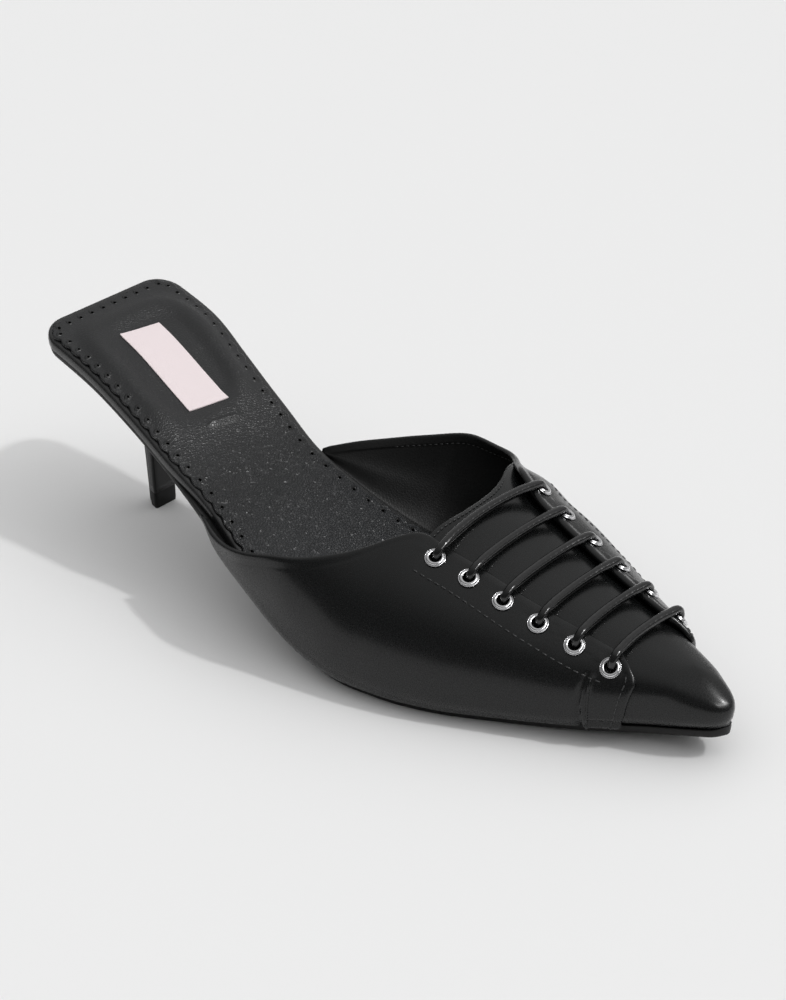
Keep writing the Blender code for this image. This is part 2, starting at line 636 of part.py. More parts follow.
def row_station(row):
    """Station of one pair of eyelets, between the throat and the quarter's front edge."""
    first, last = THROAT * LENGTH + FIRST_MARGIN, QUARTER_END * LENGTH - LAST_MARGIN
    return first + (last - first) * row / (ROWS - 1)


def eyelet_seat(side, row):
    """Centre of an eyelet on the quarter, the way out of the leather, and the way inboard."""
    s = row_station(row)
    edge, below = (wall_point(side, np.array(s), u) for u in (2.0, 1.8))
    u = 2 - 0.2 * EYELET_MARGIN / np.linalg.norm(edge - below)
    spread = 0.2 * EYELET_RADIUS / np.linalg.norm(edge - below)
    inboard = quarter_point(side, s, u + spread) - quarter_point(side, s, u - spread)
    along = quarter_point(side, s + EYELET_RADIUS, u) - quarter_point(side, s - EYELET_RADIUS, u)
    out = np.cross(inboard, along)
    out = out / np.linalg.norm(out) * (1 if out[2] > 0 else -1)
    inboard = inboard - out * inboard.dot(out)
    return quarter_point(side, s, u), out, inboard / np.linalg.norm(inboard)


def make_eyelet(side, row):
    """Turned metal ring lying on the quarter round the lace's hole."""
    centre, out, inboard = eyelet_seat(side, row)
    along = np.cross(out, inboard)
    profile = ((EYELET_HOLE, 0.0), (EYELET_RADIUS, 0.0), (EYELET_RADIUS, 0.35), (EYELET_RADIUS * 0.86, 0.85),
               (EYELET_RADIUS * 0.68, 1.0), (EYELET_HOLE, 0.8))
    loops = []
    for k in range(14):
        turn = 2 * math.pi * k / 14
        way = math.cos(turn) * inboard + math.sin(turn) * along
        loops.append([centre + out * (EYELET_STANDOFF + h * EYELET_HEIGHT) + way * r for r, h in profile])
    name = f"eyelet_{'outer' if side == OUTER else 'inner'}_{row + 1}"
    return loft(name, loops, "eyelet", ring=True)


def lace_path(row):
    """Middle of one lace bar: out of an eyelet, over the vamp and into the other one."""
    s = row_station(row)
    ends = {}
    over_ring = EYELET_STANDOFF + EYELET_HEIGHT + GAP + LACE_RADIUS
    for side in (OUTER, INNER):
        centre, out, inboard = eyelet_seat(side, row)
        steps = ((0.0, 0.35 * MM), (0.0, 0.45 * over_ring), (0.25 * LACE_RADIUS, 0.78 * over_ring),
                 (0.95 * LACE_RADIUS, over_ring), (EYELET_RADIUS, 1.02 * over_ring))
        ends[side] = [centre + inboard * a + out * b for a, b in steps]
    ridge = wall_point(INNER, np.array(s), 3.0)
    top = ridge + np.array([0, 0, LACE_RADIUS + 2 * GAP])
    start, finish = ends[OUTER][-1], ends[INNER][-1]
    middle = []
    count = LACE_STEPS - 4
    for k in range(1, count):
        t = k / count
        straight = start + (finish - start) * t
        sag = top - (start + finish) / 2
        middle.append(straight + sag * (1 - (2 * t - 1) ** 2))
    return ends[OUTER] + middle + ends[INNER][::-1]


def make_lace_bar(row):
    """Round lace lying straight across between one pair of eyelets."""
    path = np.array(lace_path(row))
    ways = np.gradient(path, axis=0)
    ways[0] = path[1] - path[0]
    ways[-1] = path[-1] - path[-2]
    side_way = np.array([1.0, 0.0, 0.0])
    loops = []
    for point, way in zip(path, ways):
        way = way / np.linalg.norm(way)
        across = side_way - way * side_way.dot(way)
        across = across / np.linalg.norm(across)
        up = np.cross(across, way)
        loop = []
        for k in range(LACE_SIDES):
            turn = 2 * math.pi * k / LACE_SIDES
            loop.append(point + (math.cos(turn) * across + math.sin(turn) * up) * LACE_RADIUS)
        loops.append(loop)
    return loft(f"lace_bar_{row + 1}", loops, "lace")


def centre_all():
    """Move every piece so that the shoe's box is centred over the origin."""
    pieces = list(bpy.context.scene.collection.objects)
    points = np.array([tuple(v.co) for piece in pieces for v in piece.data.vertices])
    middle = (points.min(axis=0) + points.max(axis=0)) / 2
    for piece in pieces:
        for v in piece.data.vertices:
            v.co.x -= middle[0]
            v.co.y -= middle[1]


def main():
    """Clear the scene and make every piece."""
    for old in list(bpy.data.objects):
        bpy.data.objects.remove(old)
    make_outsole()
    make_heel()
    make_insole()
    make_sock()
    make_label()
    make_upper()
    for row in range(ROWS):
        make_eyelet(OUTER, row)
        make_eyelet(INNER, row)
        make_lace_bar(row)
    centre_all()


main()
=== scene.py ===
"""Looks of the lace-up mule, a black pointed-toe mule for the right foot.

Metres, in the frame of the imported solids: the toe points to +X, the inner side of the foot
is +Y and the floor is Z = 0. Each sub-assembly is a class that builds its meshes from the
last's own sections and dresses them.
"""
from __future__ import annotations

import logging
import math
from dataclasses import dataclass, field
from enum import Enum
from functools import cached_property
from typing import Callable, Sequence

import bmesh
import bpy
import numpy as np
from mathutils import Matrix, Vector

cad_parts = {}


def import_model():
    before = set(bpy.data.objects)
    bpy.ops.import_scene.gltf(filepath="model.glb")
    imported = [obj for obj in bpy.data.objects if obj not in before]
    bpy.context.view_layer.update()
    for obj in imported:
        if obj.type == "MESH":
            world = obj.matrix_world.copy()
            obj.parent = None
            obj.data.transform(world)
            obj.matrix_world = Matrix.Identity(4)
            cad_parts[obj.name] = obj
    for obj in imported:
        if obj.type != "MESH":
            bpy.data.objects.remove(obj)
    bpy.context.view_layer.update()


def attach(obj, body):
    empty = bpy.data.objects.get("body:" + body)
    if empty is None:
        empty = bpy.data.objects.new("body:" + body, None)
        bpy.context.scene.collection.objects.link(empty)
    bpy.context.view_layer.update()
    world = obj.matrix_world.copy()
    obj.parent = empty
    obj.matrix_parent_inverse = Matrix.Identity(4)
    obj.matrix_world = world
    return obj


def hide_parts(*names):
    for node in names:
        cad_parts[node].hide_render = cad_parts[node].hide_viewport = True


LOG = logging.getLogger("mule")
MM = 0.001
Array = np.ndarray


class Side(Enum):
    """Which side of the foot a piece is on."""

    OUTER = -1
    INNER = 1


class SheetEdge(Enum):
    """Edges of a quarter's grid of points."""

    TOP = "top"
    FRONT = "front"


def smooth_step(x: Array | float, low: float, high: float) -> Array:
    """Smooth rise from 0 at low to 1 at high."""
    t = np.clip((np.asarray(x, dtype=float) - low) / (high - low), 0, 1)
    return t * t * (3 - 2 * t)


def swell(where: Array, at: Array | float, width: float) -> Array:
    """Low smooth form: 1 where a distance meets its place, and 0 a few widths away."""
    return np.exp(-((where - at) / width) ** 2)


def unit(ways: Array) -> Array:
    """Directions at unit length, or left at nothing where they have none."""
    return ways / np.maximum(np.linalg.norm(ways, axis=-1, keepdims=True), 1e-12)


def run_along(path: Array) -> Array:
    """Distance from the start of a path to each of its points."""
    return np.concatenate([[0], np.cumsum(np.linalg.norm(np.diff(path, axis=0), axis=1))])


def read_along(at: Array | float, run: Array, points: Array) -> Array:
    """Points of a path, or directions on it, at given distances."""
    return np.stack([np.interp(at, run, points[:, i]) for i in range(3)], axis=-1)


def column(rows: Sequence[Sequence[float]], index: int, spread: float = 0.012) -> Callable:
    """Make a smooth function of the station share from one column of a table.

    Args:
        rows: the table, station share first.
        index: the column to read.
        spread: half width of the window that the curve is averaged over.

    Returns:
        A function from station shares to values.
    """
    xs = np.array([row[0] for row in rows])
    ys = np.array([row[index] for row in rows])
    rates = np.diff(ys) / np.diff(xs)
    slopes = np.concatenate([rates[:1], rates[1:], rates[-1:]])
    for i in range(1, len(xs) - 1):
        same_way = rates[i - 1] * rates[i] > 0
        slopes[i] = 2 * rates[i - 1] * rates[i] / (rates[i - 1] + rates[i]) if same_way else 0.0

    def exact(x: Array) -> Array:
        """Read the curve through the rows, which goes straight on beyond them.

        Args:
            x: station shares.

        Returns:
            The curve's values.
        """
        i = np.clip(np.searchsorted(xs, x) - 1, 0, len(xs) - 2)
        step = xs[i + 1] - xs[i]
        t = (x - xs[i]) / step
        inside = np.clip(t, 0, 1)
        a, b = inside ** 2 * (3 - 2 * inside), inside * (1 - inside)
        curve = ys[i] * (1 - a) + ys[i + 1] * a + step * b * (
            slopes[i] * (1 - inside) - slopes[i + 1] * inside)
        beyond = step * (np.minimum(t, 0) * slopes[0] + np.maximum(t - 1, 0) * slopes[-1])
        return curve + beyond

    offsets = np.linspace(-1, 1, 9)

    def value(x: Array) -> Array:
        """Average of the curve over the window."""
        x = np.asarray(x, dtype=float)
        return sum(exact(x + spread * k) for k in offsets) / len(offsets)

    return value


def arc(start: tuple, start_angle: Array, end: tuple, end_angle: Array, t: Array,
        fullness: float) -> tuple:
    """Points at shares t of a full curve between two points with given directions.

    Args:
        start: out and up of the first point.
        start_angle: direction there, from level.
        end: out and up of the last point.
        end_angle: direction there.
        t: shares along the curve.
        fullness: how far the curve swells, 1 for a circle's.

    Returns:
        Out and up of each point.
    """
    run, rise = end[0] - start[0], end[1] - start[1]
    turn = np.maximum(np.abs(end_angle - start_angle), 0.01)
    handle = fullness * np.hypot(run, rise) * (2 / 3) * np.tan(turn / 4) / np.sin(turn / 2)
    p1 = (start[0] + handle * np.cos(start_angle), start[1] + handle * np.sin(start_angle))
    p2 = (end[0] - handle * np.cos(end_angle), end[1] - handle * np.sin(end_angle))
    b0, b1, b2, b3 = (1 - t) ** 3, 3 * t * (1 - t) ** 2, 3 * t * t * (1 - t), t ** 3
    return tuple(b0 * start[i] + b1 * p1[i] + b2 * p2[i] + b3 * end[i] for i in (0, 1))


@dataclass
class Last:
    """The form that every piece follows: outline, arch and sections, as in the solids.

    Stations run from the back of the seat to the tip of the sole. Widths are distances out
    from the axis, and the upper's heights are taken from the top of the outsole.
    """

    length: float = 250.0 * MM
    ball_width: float = 82.4 * MM
    seat_height: float = 67.4 * MM
    instep_height: float = 43.6 * MM
    toe_spring: float = 8.2 * MM
    seat_corner: float = 8.5 * MM
    toe_radius: float = 4.0 * MM
    gap: float = 0.3 * MM
    sole_forepart: float = 2.6 * MM
    sole_seat: float = 2.3 * MM
    insole_thickness: float = 3.2 * MM
    overhang_tip: float = 1.3 * MM
    feather_inset: float = 0.4 * MM
    quarter_step: float = 1.5 * MM
    quarter_wall: float = 1.5 * MM
    wall: float = 1.6 * MM
    lift: float = 2.2 * MM
    lift_run: float = 9.0 * MM
    band_reach: float = 1.6
    front_slant: float = 4.4 * MM
    corner_round: float = 6.5 * MM
    flat_end: float = 0.67
    spring_power: float = 2.2
    back_end: float = 0.328
    throat: float = 0.618
    quarter_end: float = 0.906
    pivot: float = 0.944
    feather_angle: float = math.radians(35)
    fullness: float = 1.10
    toe_reach: float = 1.12
    toe_rise: float = 1.0
    belly_low: float = 0.64
    inner_stand: float = 1.1 * MM
    stand_back: tuple[float, float] = (-9.0 * MM, 9.0 * MM)
    stand_front: tuple[float, float] = (-2.0 * MM, 6.0 * MM)
    corner_from: float = 1.6
    centre: tuple[float, float] = (-0.45 * MM, 0.55 * MM)
    # Underside: station share, rise share of the seat's underside
    arch_rows: tuple = (
        (0.00, 1.000), (0.10, 0.900), (0.18, 0.766), (0.26, 0.621), (0.34, 0.442),
        (0.42, 0.238), (0.48, 0.102), (0.53, 0.026), (0.575, 0.000), (0.67, 0.000), (1.00, 0.000),
    )
    # Outsole's plan: station share, outer and inner width as shares of half the ball width
    plan_rows: tuple = (
        (0.00, 0.603, 0.762), (0.10, 0.667, 0.703), (0.18, 0.714, 0.585), (0.26, 0.788, 0.474),
        (0.32, 0.842, 0.448), (0.38, 0.910, 0.510), (0.44, 0.956, 0.624), (0.50, 0.990, 0.769),
        (0.56, 1.000, 0.910), (0.63, 0.962, 0.998), (0.69, 0.862, 0.932), (0.76, 0.672, 0.755),
        (0.84, 0.459, 0.505), (0.92, 0.236, 0.272), (1.00, 0.080, 0.090),
    )
    # Insets: station share, insole, outsole's setback
    inset_rows: tuple = ((0.00, 0.0, 1.0), (0.24, 0.0, 1.0), (0.34, 1.0, 0.0), (1.00, 1.0, 0.0))
    # Ridge of the vamp: station share, aside, height share
    ridge_rows: tuple = (
        (0.618, 0.078, 1.000), (0.650, 0.072, 0.968), (0.690, 0.062, 0.880), (0.740, 0.054, 0.775),
        (0.800, 0.046, 0.655), (0.870, 0.044, 0.515), (0.944, 0.036, 0.350),
    )
    # Upper: station share, belly out, up and lean, edge out, up and lean
    outer_rows: tuple = (
        (0.328, 0.866, 0.020, 35, 0.880, 0.050, 20), (0.380, 0.976, 0.095, 36, 1.002, 0.190, 12),
        (0.432, 1.045, 0.200, 18, 1.070, 0.415, 0), (0.488, 1.085, 0.275, 3, 1.042, 0.655, -22),
        (0.552, 1.092, 0.275, 0, 0.818, 0.822, -50), (0.618, 1.048, 0.240, 0, 0.400, 0.945, -68),
        (0.648, 1.008, 0.232, 0, 0.375, 0.895, -72), (0.690, 0.938, 0.222, 0, 0.350, 0.832, -75),
        (0.760, 0.764, 0.212, 0, 0.312, 0.700, -75), (0.830, 0.572, 0.197, 0, 0.250, 0.560, -72),
        (0.900, 0.366, 0.172, 0, 0.200, 0.415, -68), (0.944, 0.244, 0.155, 0, 0.140, 0.315, -66),
    )
    inner_rows: tuple = (
        (0.328, 0.430, 0.020, 35, 0.445, 0.052, 30), (0.380, 0.590, 0.125, 42, 0.698, 0.290, 34),
        (0.432, 0.778, 0.215, 35, 0.912, 0.520, 22), (0.488, 0.972, 0.290, 20, 1.072, 0.735, 2),
        (0.552, 1.058, 0.295, 3, 1.005, 0.855, -28), (0.618, 1.066, 0.262, 0, 0.600, 0.945, -62),
        (0.648, 1.040, 0.250, 0, 0.520, 0.900, -70), (0.690, 1.002, 0.238, 0, 0.465, 0.838, -75),
        (0.760, 0.832, 0.220, 0, 0.395, 0.700, -75), (0.830, 0.618, 0.197, 0, 0.335, 0.560, -72),
        (0.900, 0.402, 0.172, 0, 0.270, 0.415, -68), (0.944, 0.264, 0.155, 0, 0.180, 0.315, -66),
    )

    @property
    def half_ball(self) -> float:
        """Half the ball width."""
        return self.ball_width / 2

    @cached_property
    def arch(self) -> Callable:
        """Rise of the underside."""
        return column(self.arch_rows, 1)

    @cached_property
    def plan(self) -> dict:
        """Width of the outline on each side."""
        return {Side.OUTER: column(self.plan_rows, 1), Side.INNER: column(self.plan_rows, 2)}

    @cached_property
    def insets(self) -> tuple:
        """Insole's inset and outsole's setback."""
        return column(self.inset_rows, 1), column(self.inset_rows, 2)

    @cached_property
    def ridge(self) -> tuple:
        """Ridge's place aside and its height."""
        return column(self.ridge_rows, 1), column(self.ridge_rows, 2)

    @cached_property
    def walls(self) -> dict:
        """Section columns of each side."""
        tables = {Side.OUTER: self.outer_rows, Side.INNER: self.inner_rows}
        return {side: [column(rows, i) for i in range(1, 7)] for side, rows in tables.items()}

    def place(self, s: Array, y: Array, z: Array) -> Array:
        """Points in the frame of the solids, from station, distance inward and height."""
        s, y, z = np.broadcast_arrays(np.asarray(s, float), np.asarray(y, float), np.asarray(z, float))
        return np.stack([s - self.length / 2 - self.centre[0], y - self.centre[1], z], axis=-1)

    def sole_thickness(self, s: Array) -> Array:
        """Outsole from its covered band at the seat to the thin forepart."""
        share = np.clip(self.arch(s / self.length) * self.band_reach, 0, 1)
        return self.sole_forepart + (self.sole_seat - self.sole_forepart) * share

    def underside(self, s: Array) -> Array:
        """Height of the outsole's underside.

        Args:
            s: stations.

        Returns:
            Heights.
        """
        seat = self.seat_height - self.insole_thickness - self.gap - self.sole_seat
        ahead = np.maximum(s / self.length - self.flat_end, 0) / (1 - self.flat_end)
        return seat * self.arch(s / self.length) + self.toe_spring * ahead ** self.spring_power

    def sole_top(self, s: Array) -> Array:
        """Height of the outsole's top."""
        return self.underside(s) + self.sole_thickness(s)

    def insole_top(self, s: Array) -> Array:
        """Height of the insole's top."""
        return self.sole_top(s) + self.gap + self.insole_thickness

    def outline(self, side: Side, s: Array) -> Array:
        """Distance of the plan's edge from the axis.

        Args:
            side: the side of the foot.
            s: stations.

        Returns:
            Distances.
        """
        s = np.asarray(s, dtype=float)
        width = self.plan[side](s / self.length) * self.half_ball
        back = np.clip(self.seat_corner - s, 0, self.seat_corner)
        width = width - self.seat_corner + np.sqrt(self.seat_corner ** 2 - back ** 2)
        ahead = np.clip((s - self.length) / self.toe_radius + 1, 0, 1)
        return width * np.sqrt(1 - ahead ** 2)

    def insole_out(self, side: Side, s: Array) -> Array:
        """Insole's edge: the plan at the seat, inside the upper's wall ahead of it."""
        inset = self.feather_inset + self.quarter_wall + 0.5 * self.gap
        return self.outline(side, s) - inset * self.insets[0](np.asarray(s) / self.length)

    def half_section(self, side: Side, s: Array, u: Array) -> tuple:
        """Out and up on one half of a section: u runs 0 feather, 1 belly, 2 edge, 3 ridge.

        Args:
            side: the side of the foot.
            s: stations.
            u: places on the half section, 0 to 3.

        Returns:
            Out and up of each point.
        """
        share = s / self.length
        table = [f(share) for f in self.walls[side]]
        feather = (self.outline(side, s) - self.feather_inset, 0 * s)
        low = self.belly_low if side is Side.OUTER else 1.0
        belly = (table[0] * self.half_ball, low * table[1] * self.instep_height)
        edge = (table[3] * self.half_ball, table[4] * self.instep_height)
        aside, rise = (curve(share) for curve in self.ridge)
        ridge = (side.value * aside * self.half_ball, rise * self.instep_height)
        belly_angle = np.radians(90 - table[2])
        edge_angle = np.radians(90 - table[5])
        level = np.full_like(share, math.pi)
        parts = (
            arc(feather, self.feather_angle, belly, belly_angle, np.clip(u, 0, 1), self.fullness),
            arc(belly, belly_angle, edge, edge_angle, np.clip(u - 1, 0, 1), self.fullness),
            arc(edge, edge_angle, ridge, level, np.clip(u - 2, 0, 1), self.fullness),
        )
        pick = [u < 1, u < 2]
        return tuple(np.select(pick, [parts[0][i], parts[1][i]], parts[2][i]) for i in (0, 1))

    def wall_point(self, side: Side, s: Array, u: Array) -> Array:
        """Points of the upper's base surface on one side.

        Args:
            side: the side of the foot.
            s: stations.
            u: places on the half section, 0 to 3.

        Returns:
            The points.
        """
        s, u = np.broadcast_arrays(np.asarray(s, float), np.asarray(u, float))
        out, up = self.half_section(side, s, u)
        return self.place(s, side.value * out, self.sole_top(s) + self.gap + up)

    def wall_normal(self, side: Side, s: Array, u: Array) -> Array:
        """Outward directions of the base surface.

        Args:
            side: the side of the foot.
            s: stations.
            u: places on the half section, 0 to 3.

        Returns:
            Unit directions.
        """
        ds, du = 0.6 * MM, 0.02
        along = self.wall_point(side, s + ds, u) - self.wall_point(side, s - ds, u)
        up = self.wall_point(side, s, np.minimum(u + du, 3)) - self.wall_point(side, s, np.maximum(u - du, 0))
        return unit(np.cross(along, up) * -side.value)

    def plan_radius(self, angle: float) -> float:
        """Distance from the toe's pivot to the plan's edge, along a level direction.

        Args:
            angle: the direction, from straight ahead to the inner side.

        Returns:
            The distance.
        """
        pivot = self.pivot * self.length
        aside = float(self.ridge[0](self.pivot)) * self.half_ball
        side = Side.INNER if angle > 0 else Side.OUTER
        low, high = 0.0, self.length - pivot
        for _ in range(40):
            middle = (low + high) / 2
            s = min(pivot + middle * math.cos(angle), self.length)
            edge = float(self.outline(side, s)) - self.feather_inset
            inside = side.value * (aside + middle * math.sin(angle)) < edge
            low, high = (middle, high) if inside else (low, middle)
        return low

    def toe_line(self, angle: float, u: Array) -> Array:
        """One meridian of the toe: the last section turned round the ridge.

        Args:
            angle: the meridian's direction, as for plan_radius.
            u: places on the half section, 0 to 3.

        Returns:
            The points.
        """
        pivot = self.pivot * self.length
        at = np.full_like(u, pivot)
        sides, ridge, feather, belly = ({side: self.half_section(side, at, places) for side in Side}
                                        for places in (u, 0 * u + 3.0, 0 * u, 0 * u + 1.0))
        inner = (1 + math.sin(angle)) / 2
        share = {Side.OUTER: 1 - inner, Side.INNER: inner}
        top = sum(share[k] * ridge[k][1] for k in share)
        up = sum(share[k] * sides[k][1] for k in share)
        reach = sum(share[k] * (sides[k][0] - ridge[k][0]) / (belly[k][0] - ridge[k][0]) for k in share)
        tuck = sum(share[k] * (sides[k][0] - feather[k][0]) / (belly[k][0] - feather[k][0]) for k in share)
        overhang = sum(share[k] * (belly[k][0] - feather[k][0]) for k in share)
        overhang = self.overhang_tip + (overhang - self.overhang_tip) * abs(math.sin(angle))
        edge = self.plan_radius(angle)
        turn = np.clip((u - 1) / 2, 0, 1) * math.pi / 2
        low = sum(share[k] * belly[k][1] for k in share)
        nose = math.cos(angle) ** 0.5
        reach = np.where(u > 1, reach + nose * (np.cos(turn) ** self.toe_reach - reach), reach)
        up = np.where(u > 1, up + nose * (low + (top - low) * np.sin(turn) ** self.toe_rise - up), up)
        radius = np.where(u < 1, edge + overhang * tuck, (edge + overhang) * reach)
        s = pivot + radius * math.cos(angle)
        height = up / top
        z = (self.sole_top(s) + self.gap) * (1 - height) + (self.sole_top(at) + self.gap + top) * height
        step = 1 * MM
        ends = self.wall_point(Side.INNER, np.array([pivot, pivot - step]), np.array([3.0, 3.0]))
        slope = (ends[0] - ends[1])[2] / step
        z = np.where(u >= 1, z + slope * math.cos(angle) * radius * (1 - reach ** 2), z)
        aside = float(self.ridge[0](self.pivot)) * self.half_ball
        return self.place(s, aside + radius * math.sin(angle), z)

    def front_setback(self, u: Array) -> Array:
        """Quarter's front edge behind its foremost point: slanting below, rounded at the top."""
        rounded = self.corner_round * np.clip((u - self.corner_from) / (2 - self.corner_from), 0, 1) ** 2
        return self.front_slant * np.clip(1 - u / self.corner_from, 0, 1) + rounded

    def quarter_raise(self, side: Side, s: Array) -> Array:
        """How far the quarter stands out from the base surface.

        Args:
            side: the side of the foot.
            s: stations.

        Returns:
            Distances out.
        """
        corner = self.throat * self.length
        if side is Side.OUTER:
            return self.quarter_step + 0 * s
        lift = self.lift * swell(s, corner, self.lift_run)
        end = self.quarter_end * self.length
        laced = smooth_step(s - corner, *self.stand_back) * smooth_step(end - s, *self.stand_front)
        return self.quarter_step + lift + self.inner_stand * laced


class Graph:
    """Short ways to add and join shader nodes in one tree."""

    def __init__(self, tree: bpy.types.NodeTree) -> None:
        """Keep the tree."""
        self.tree = tree

    def join(self, node: bpy.types.Node, inputs: dict) -> bpy.types.Node:
        """Set or link the inputs of a node.

        Args:
            node: the node.
            inputs: socket name or index to a value or an output socket.

        Returns:
            The node.
        """
        for key, value in inputs.items():
            if isinstance(value, bpy.types.NodeSocket):
                self.tree.links.new(value, node.inputs[key])
            else:
                node.inputs[key].default_value = value
        return node

    def add(self, kind: str, inputs: dict | None = None, **settings: object) -> bpy.types.Node:
        """Add a node, set its properties, and set or link its inputs.

        Args:
            kind: the node's type without the leading ShaderNode.
            inputs: socket name or index to a value or an output socket.
            **settings: properties of the node.

        Returns:
            The node.
        """
        node = self.tree.nodes.new(f"ShaderNode{kind}")
        for key, value in settings.items():
            setattr(node, key, value)
        return self.join(node, inputs or {})

    def math(self, operation: str, a: object, b: object = 0.0, c: object = 0.0) -> bpy.types.NodeSocket:
        """Result of one Math node."""
        return self.add("Math", {0: a, 1: b, 2: c}, operation=operation).outputs[0]

    def ramp(self, value: object, low: float, high: float, to_low: float = 0.0,
             to_high: float = 1.0) -> bpy.types.NodeSocket:
        """Value taken smoothly from one range to another."""
        return self.add("MapRange", {0: value, 1: low, 2: high, 3: to_low, 4: to_high},
                        interpolation_type="SMOOTHSTEP").outputs[0]

    def blend(self, share: object, first: object, second: object) -> bpy.types.NodeSocket:
        """Colour taken from one to another by a share."""
        return self.add("Mix", {0: share, 6: first, 7: second}, data_type="RGBA").outputs[2]

    def noise(self, vector: object, scale: object, **inputs: float) -> bpy.types.NodeSocket:
        """Value of a noise of a given scale."""
        return self.add("TexNoise", {"Vector": vector, "Scale": scale, **inputs}).outputs[0]


class Effects:
    """Shader groups that several finishes share, each built once."""

    @staticmethod
    def start(name: str, inputs: Sequence[tuple], outputs: Sequence[str]) -> tuple:
        """Open a group with its sockets.

        Args:
            name: the group's name.
            inputs: name and default of each input, a vector where the default is None.
            outputs: name of each output.

        Returns:
            A Graph on the group, its input sockets and its output node.
        """
        group = bpy.data.node_groups.new(name, "ShaderNodeTree")
        for socket, value in inputs:
            kind = "NodeSocketVector" if value is None else "NodeSocketFloat"
            made = group.interface.new_socket(name=socket, in_out="INPUT", socket_type=kind)
            if value is not None:
                made.default_value = value
        for socket in outputs:
            group.interface.new_socket(name=socket, in_out="OUTPUT", socket_type="NodeSocketFloat")
        source = group.nodes.new("NodeGroupInput").outputs
        return Graph(group), source[:len(inputs)], group.nodes.new("NodeGroupOutput")

    @classmethod
    def grain(cls) -> bpy.types.NodeTree:
        """Pebbled hide: small cells with creases between them, over slow dents.

        Returns:
            The group.
        """
        found = bpy.data.node_groups.get("hide_grain")
        if found:
            return found
        graph, (place, cell, crease_depth), sink = cls.start(
            "hide_grain", (("Vector", None), ("Cell", 900.0), ("Crease", 0.5)), ("Height", "Crease mask"))
        cells = graph.add("TexVoronoi", {"Vector": place, "Scale": cell}, feature="DISTANCE_TO_EDGE")
        crease = graph.ramp(cells.outputs["Distance"], 0.0, 0.22, 1.0, 0.0)
        fine = graph.noise(place, 2600.0, Detail=3.0)
        slow = graph.noise(place, 90.0, Detail=2.0)
        sunk = graph.math("MULTIPLY", crease, crease_depth)
        height = graph.math("SUBTRACT", graph.math("MULTIPLY", fine, 0.35), sunk)
        height = graph.math("ADD", height, graph.math("MULTIPLY", slow, 0.8))
        graph.join(sink, {0: height, 1: crease})
        return graph.tree

    @classmethod
    def wear(cls) -> bpy.types.NodeTree:
        """Uneven polish: soft clouds and fine scuffs that change the gloss.

        Returns:
            The group.
        """
        found = bpy.data.node_groups.get("uneven_polish")
        if found:
            return found
        graph, (place, size, amount), sink = cls.start(
            "uneven_polish", (("Vector", None), ("Cloud", 35.0), ("Amount", 0.08)), ("Shift", "Cloud mask"))
        cloud = graph.noise(place, size, Detail=4.0)
        scuff = graph.noise(place, 420.0, Detail=5.0, Roughness=0.7)
        both = graph.math("ADD", graph.math("MULTIPLY", cloud, 0.7), graph.math("MULTIPLY", scuff, 0.3))
        shift = graph.math("MULTIPLY", graph.math("SUBTRACT", both, 0.5), amount)
        graph.join(sink, {0: shift, 1: cloud})
        return graph.tree

    @classmethod
    def pin_holes(cls) -> bpy.types.NodeTree:
        """Row of round holes along a border, from its arc length and the distance in from it.

        Returns:
            The group.
        """
        found = bpy.data.node_groups.get("pin_holes")
        if found:
            return found
        names = ("Along", "Inward", "Pitch", "Row", "Radius")
        graph, (along, inward, pitch, row, radius), sink = cls.start(
            "pin_holes", [(name, 0.0) for name in names], ("Hole", "Rim"))
        turns = graph.math("FRACT", graph.math("DIVIDE", along, pitch))
        x = graph.math("MULTIPLY", graph.math("SUBTRACT", turns, 0.5), pitch)
        y = graph.math("SUBTRACT", inward, row)
        squares = [graph.math("MULTIPLY", part, part) for part in (x, y)]
        far = graph.math("SQRT", graph.math("ADD", *squares))
        ratio = graph.math("DIVIDE", far, radius)
        graph.join(sink, {0: graph.ramp(ratio, 0.75, 1.1, 1.0, 0.0),
                          1: graph.ramp(ratio, 1.0, 1.9, 1.0, 0.0)})
        return graph.tree


def blank(name: str) -> tuple[bpy.types.Material, Graph, bpy.types.Node, bpy.types.NodeSocket]:
    """Open a new material.

    Args:
        name: its name.

    Returns:
        The material, a Graph on its nodes, its shader, and the place on the object.
    """
    made = bpy.data.materials.new(name)
    made.use_nodes = True
    graph = Graph(made.node_tree)
    return made, graph, made.node_tree.nodes["Principled BSDF"], graph.add("TexCoord").outputs["Object"]


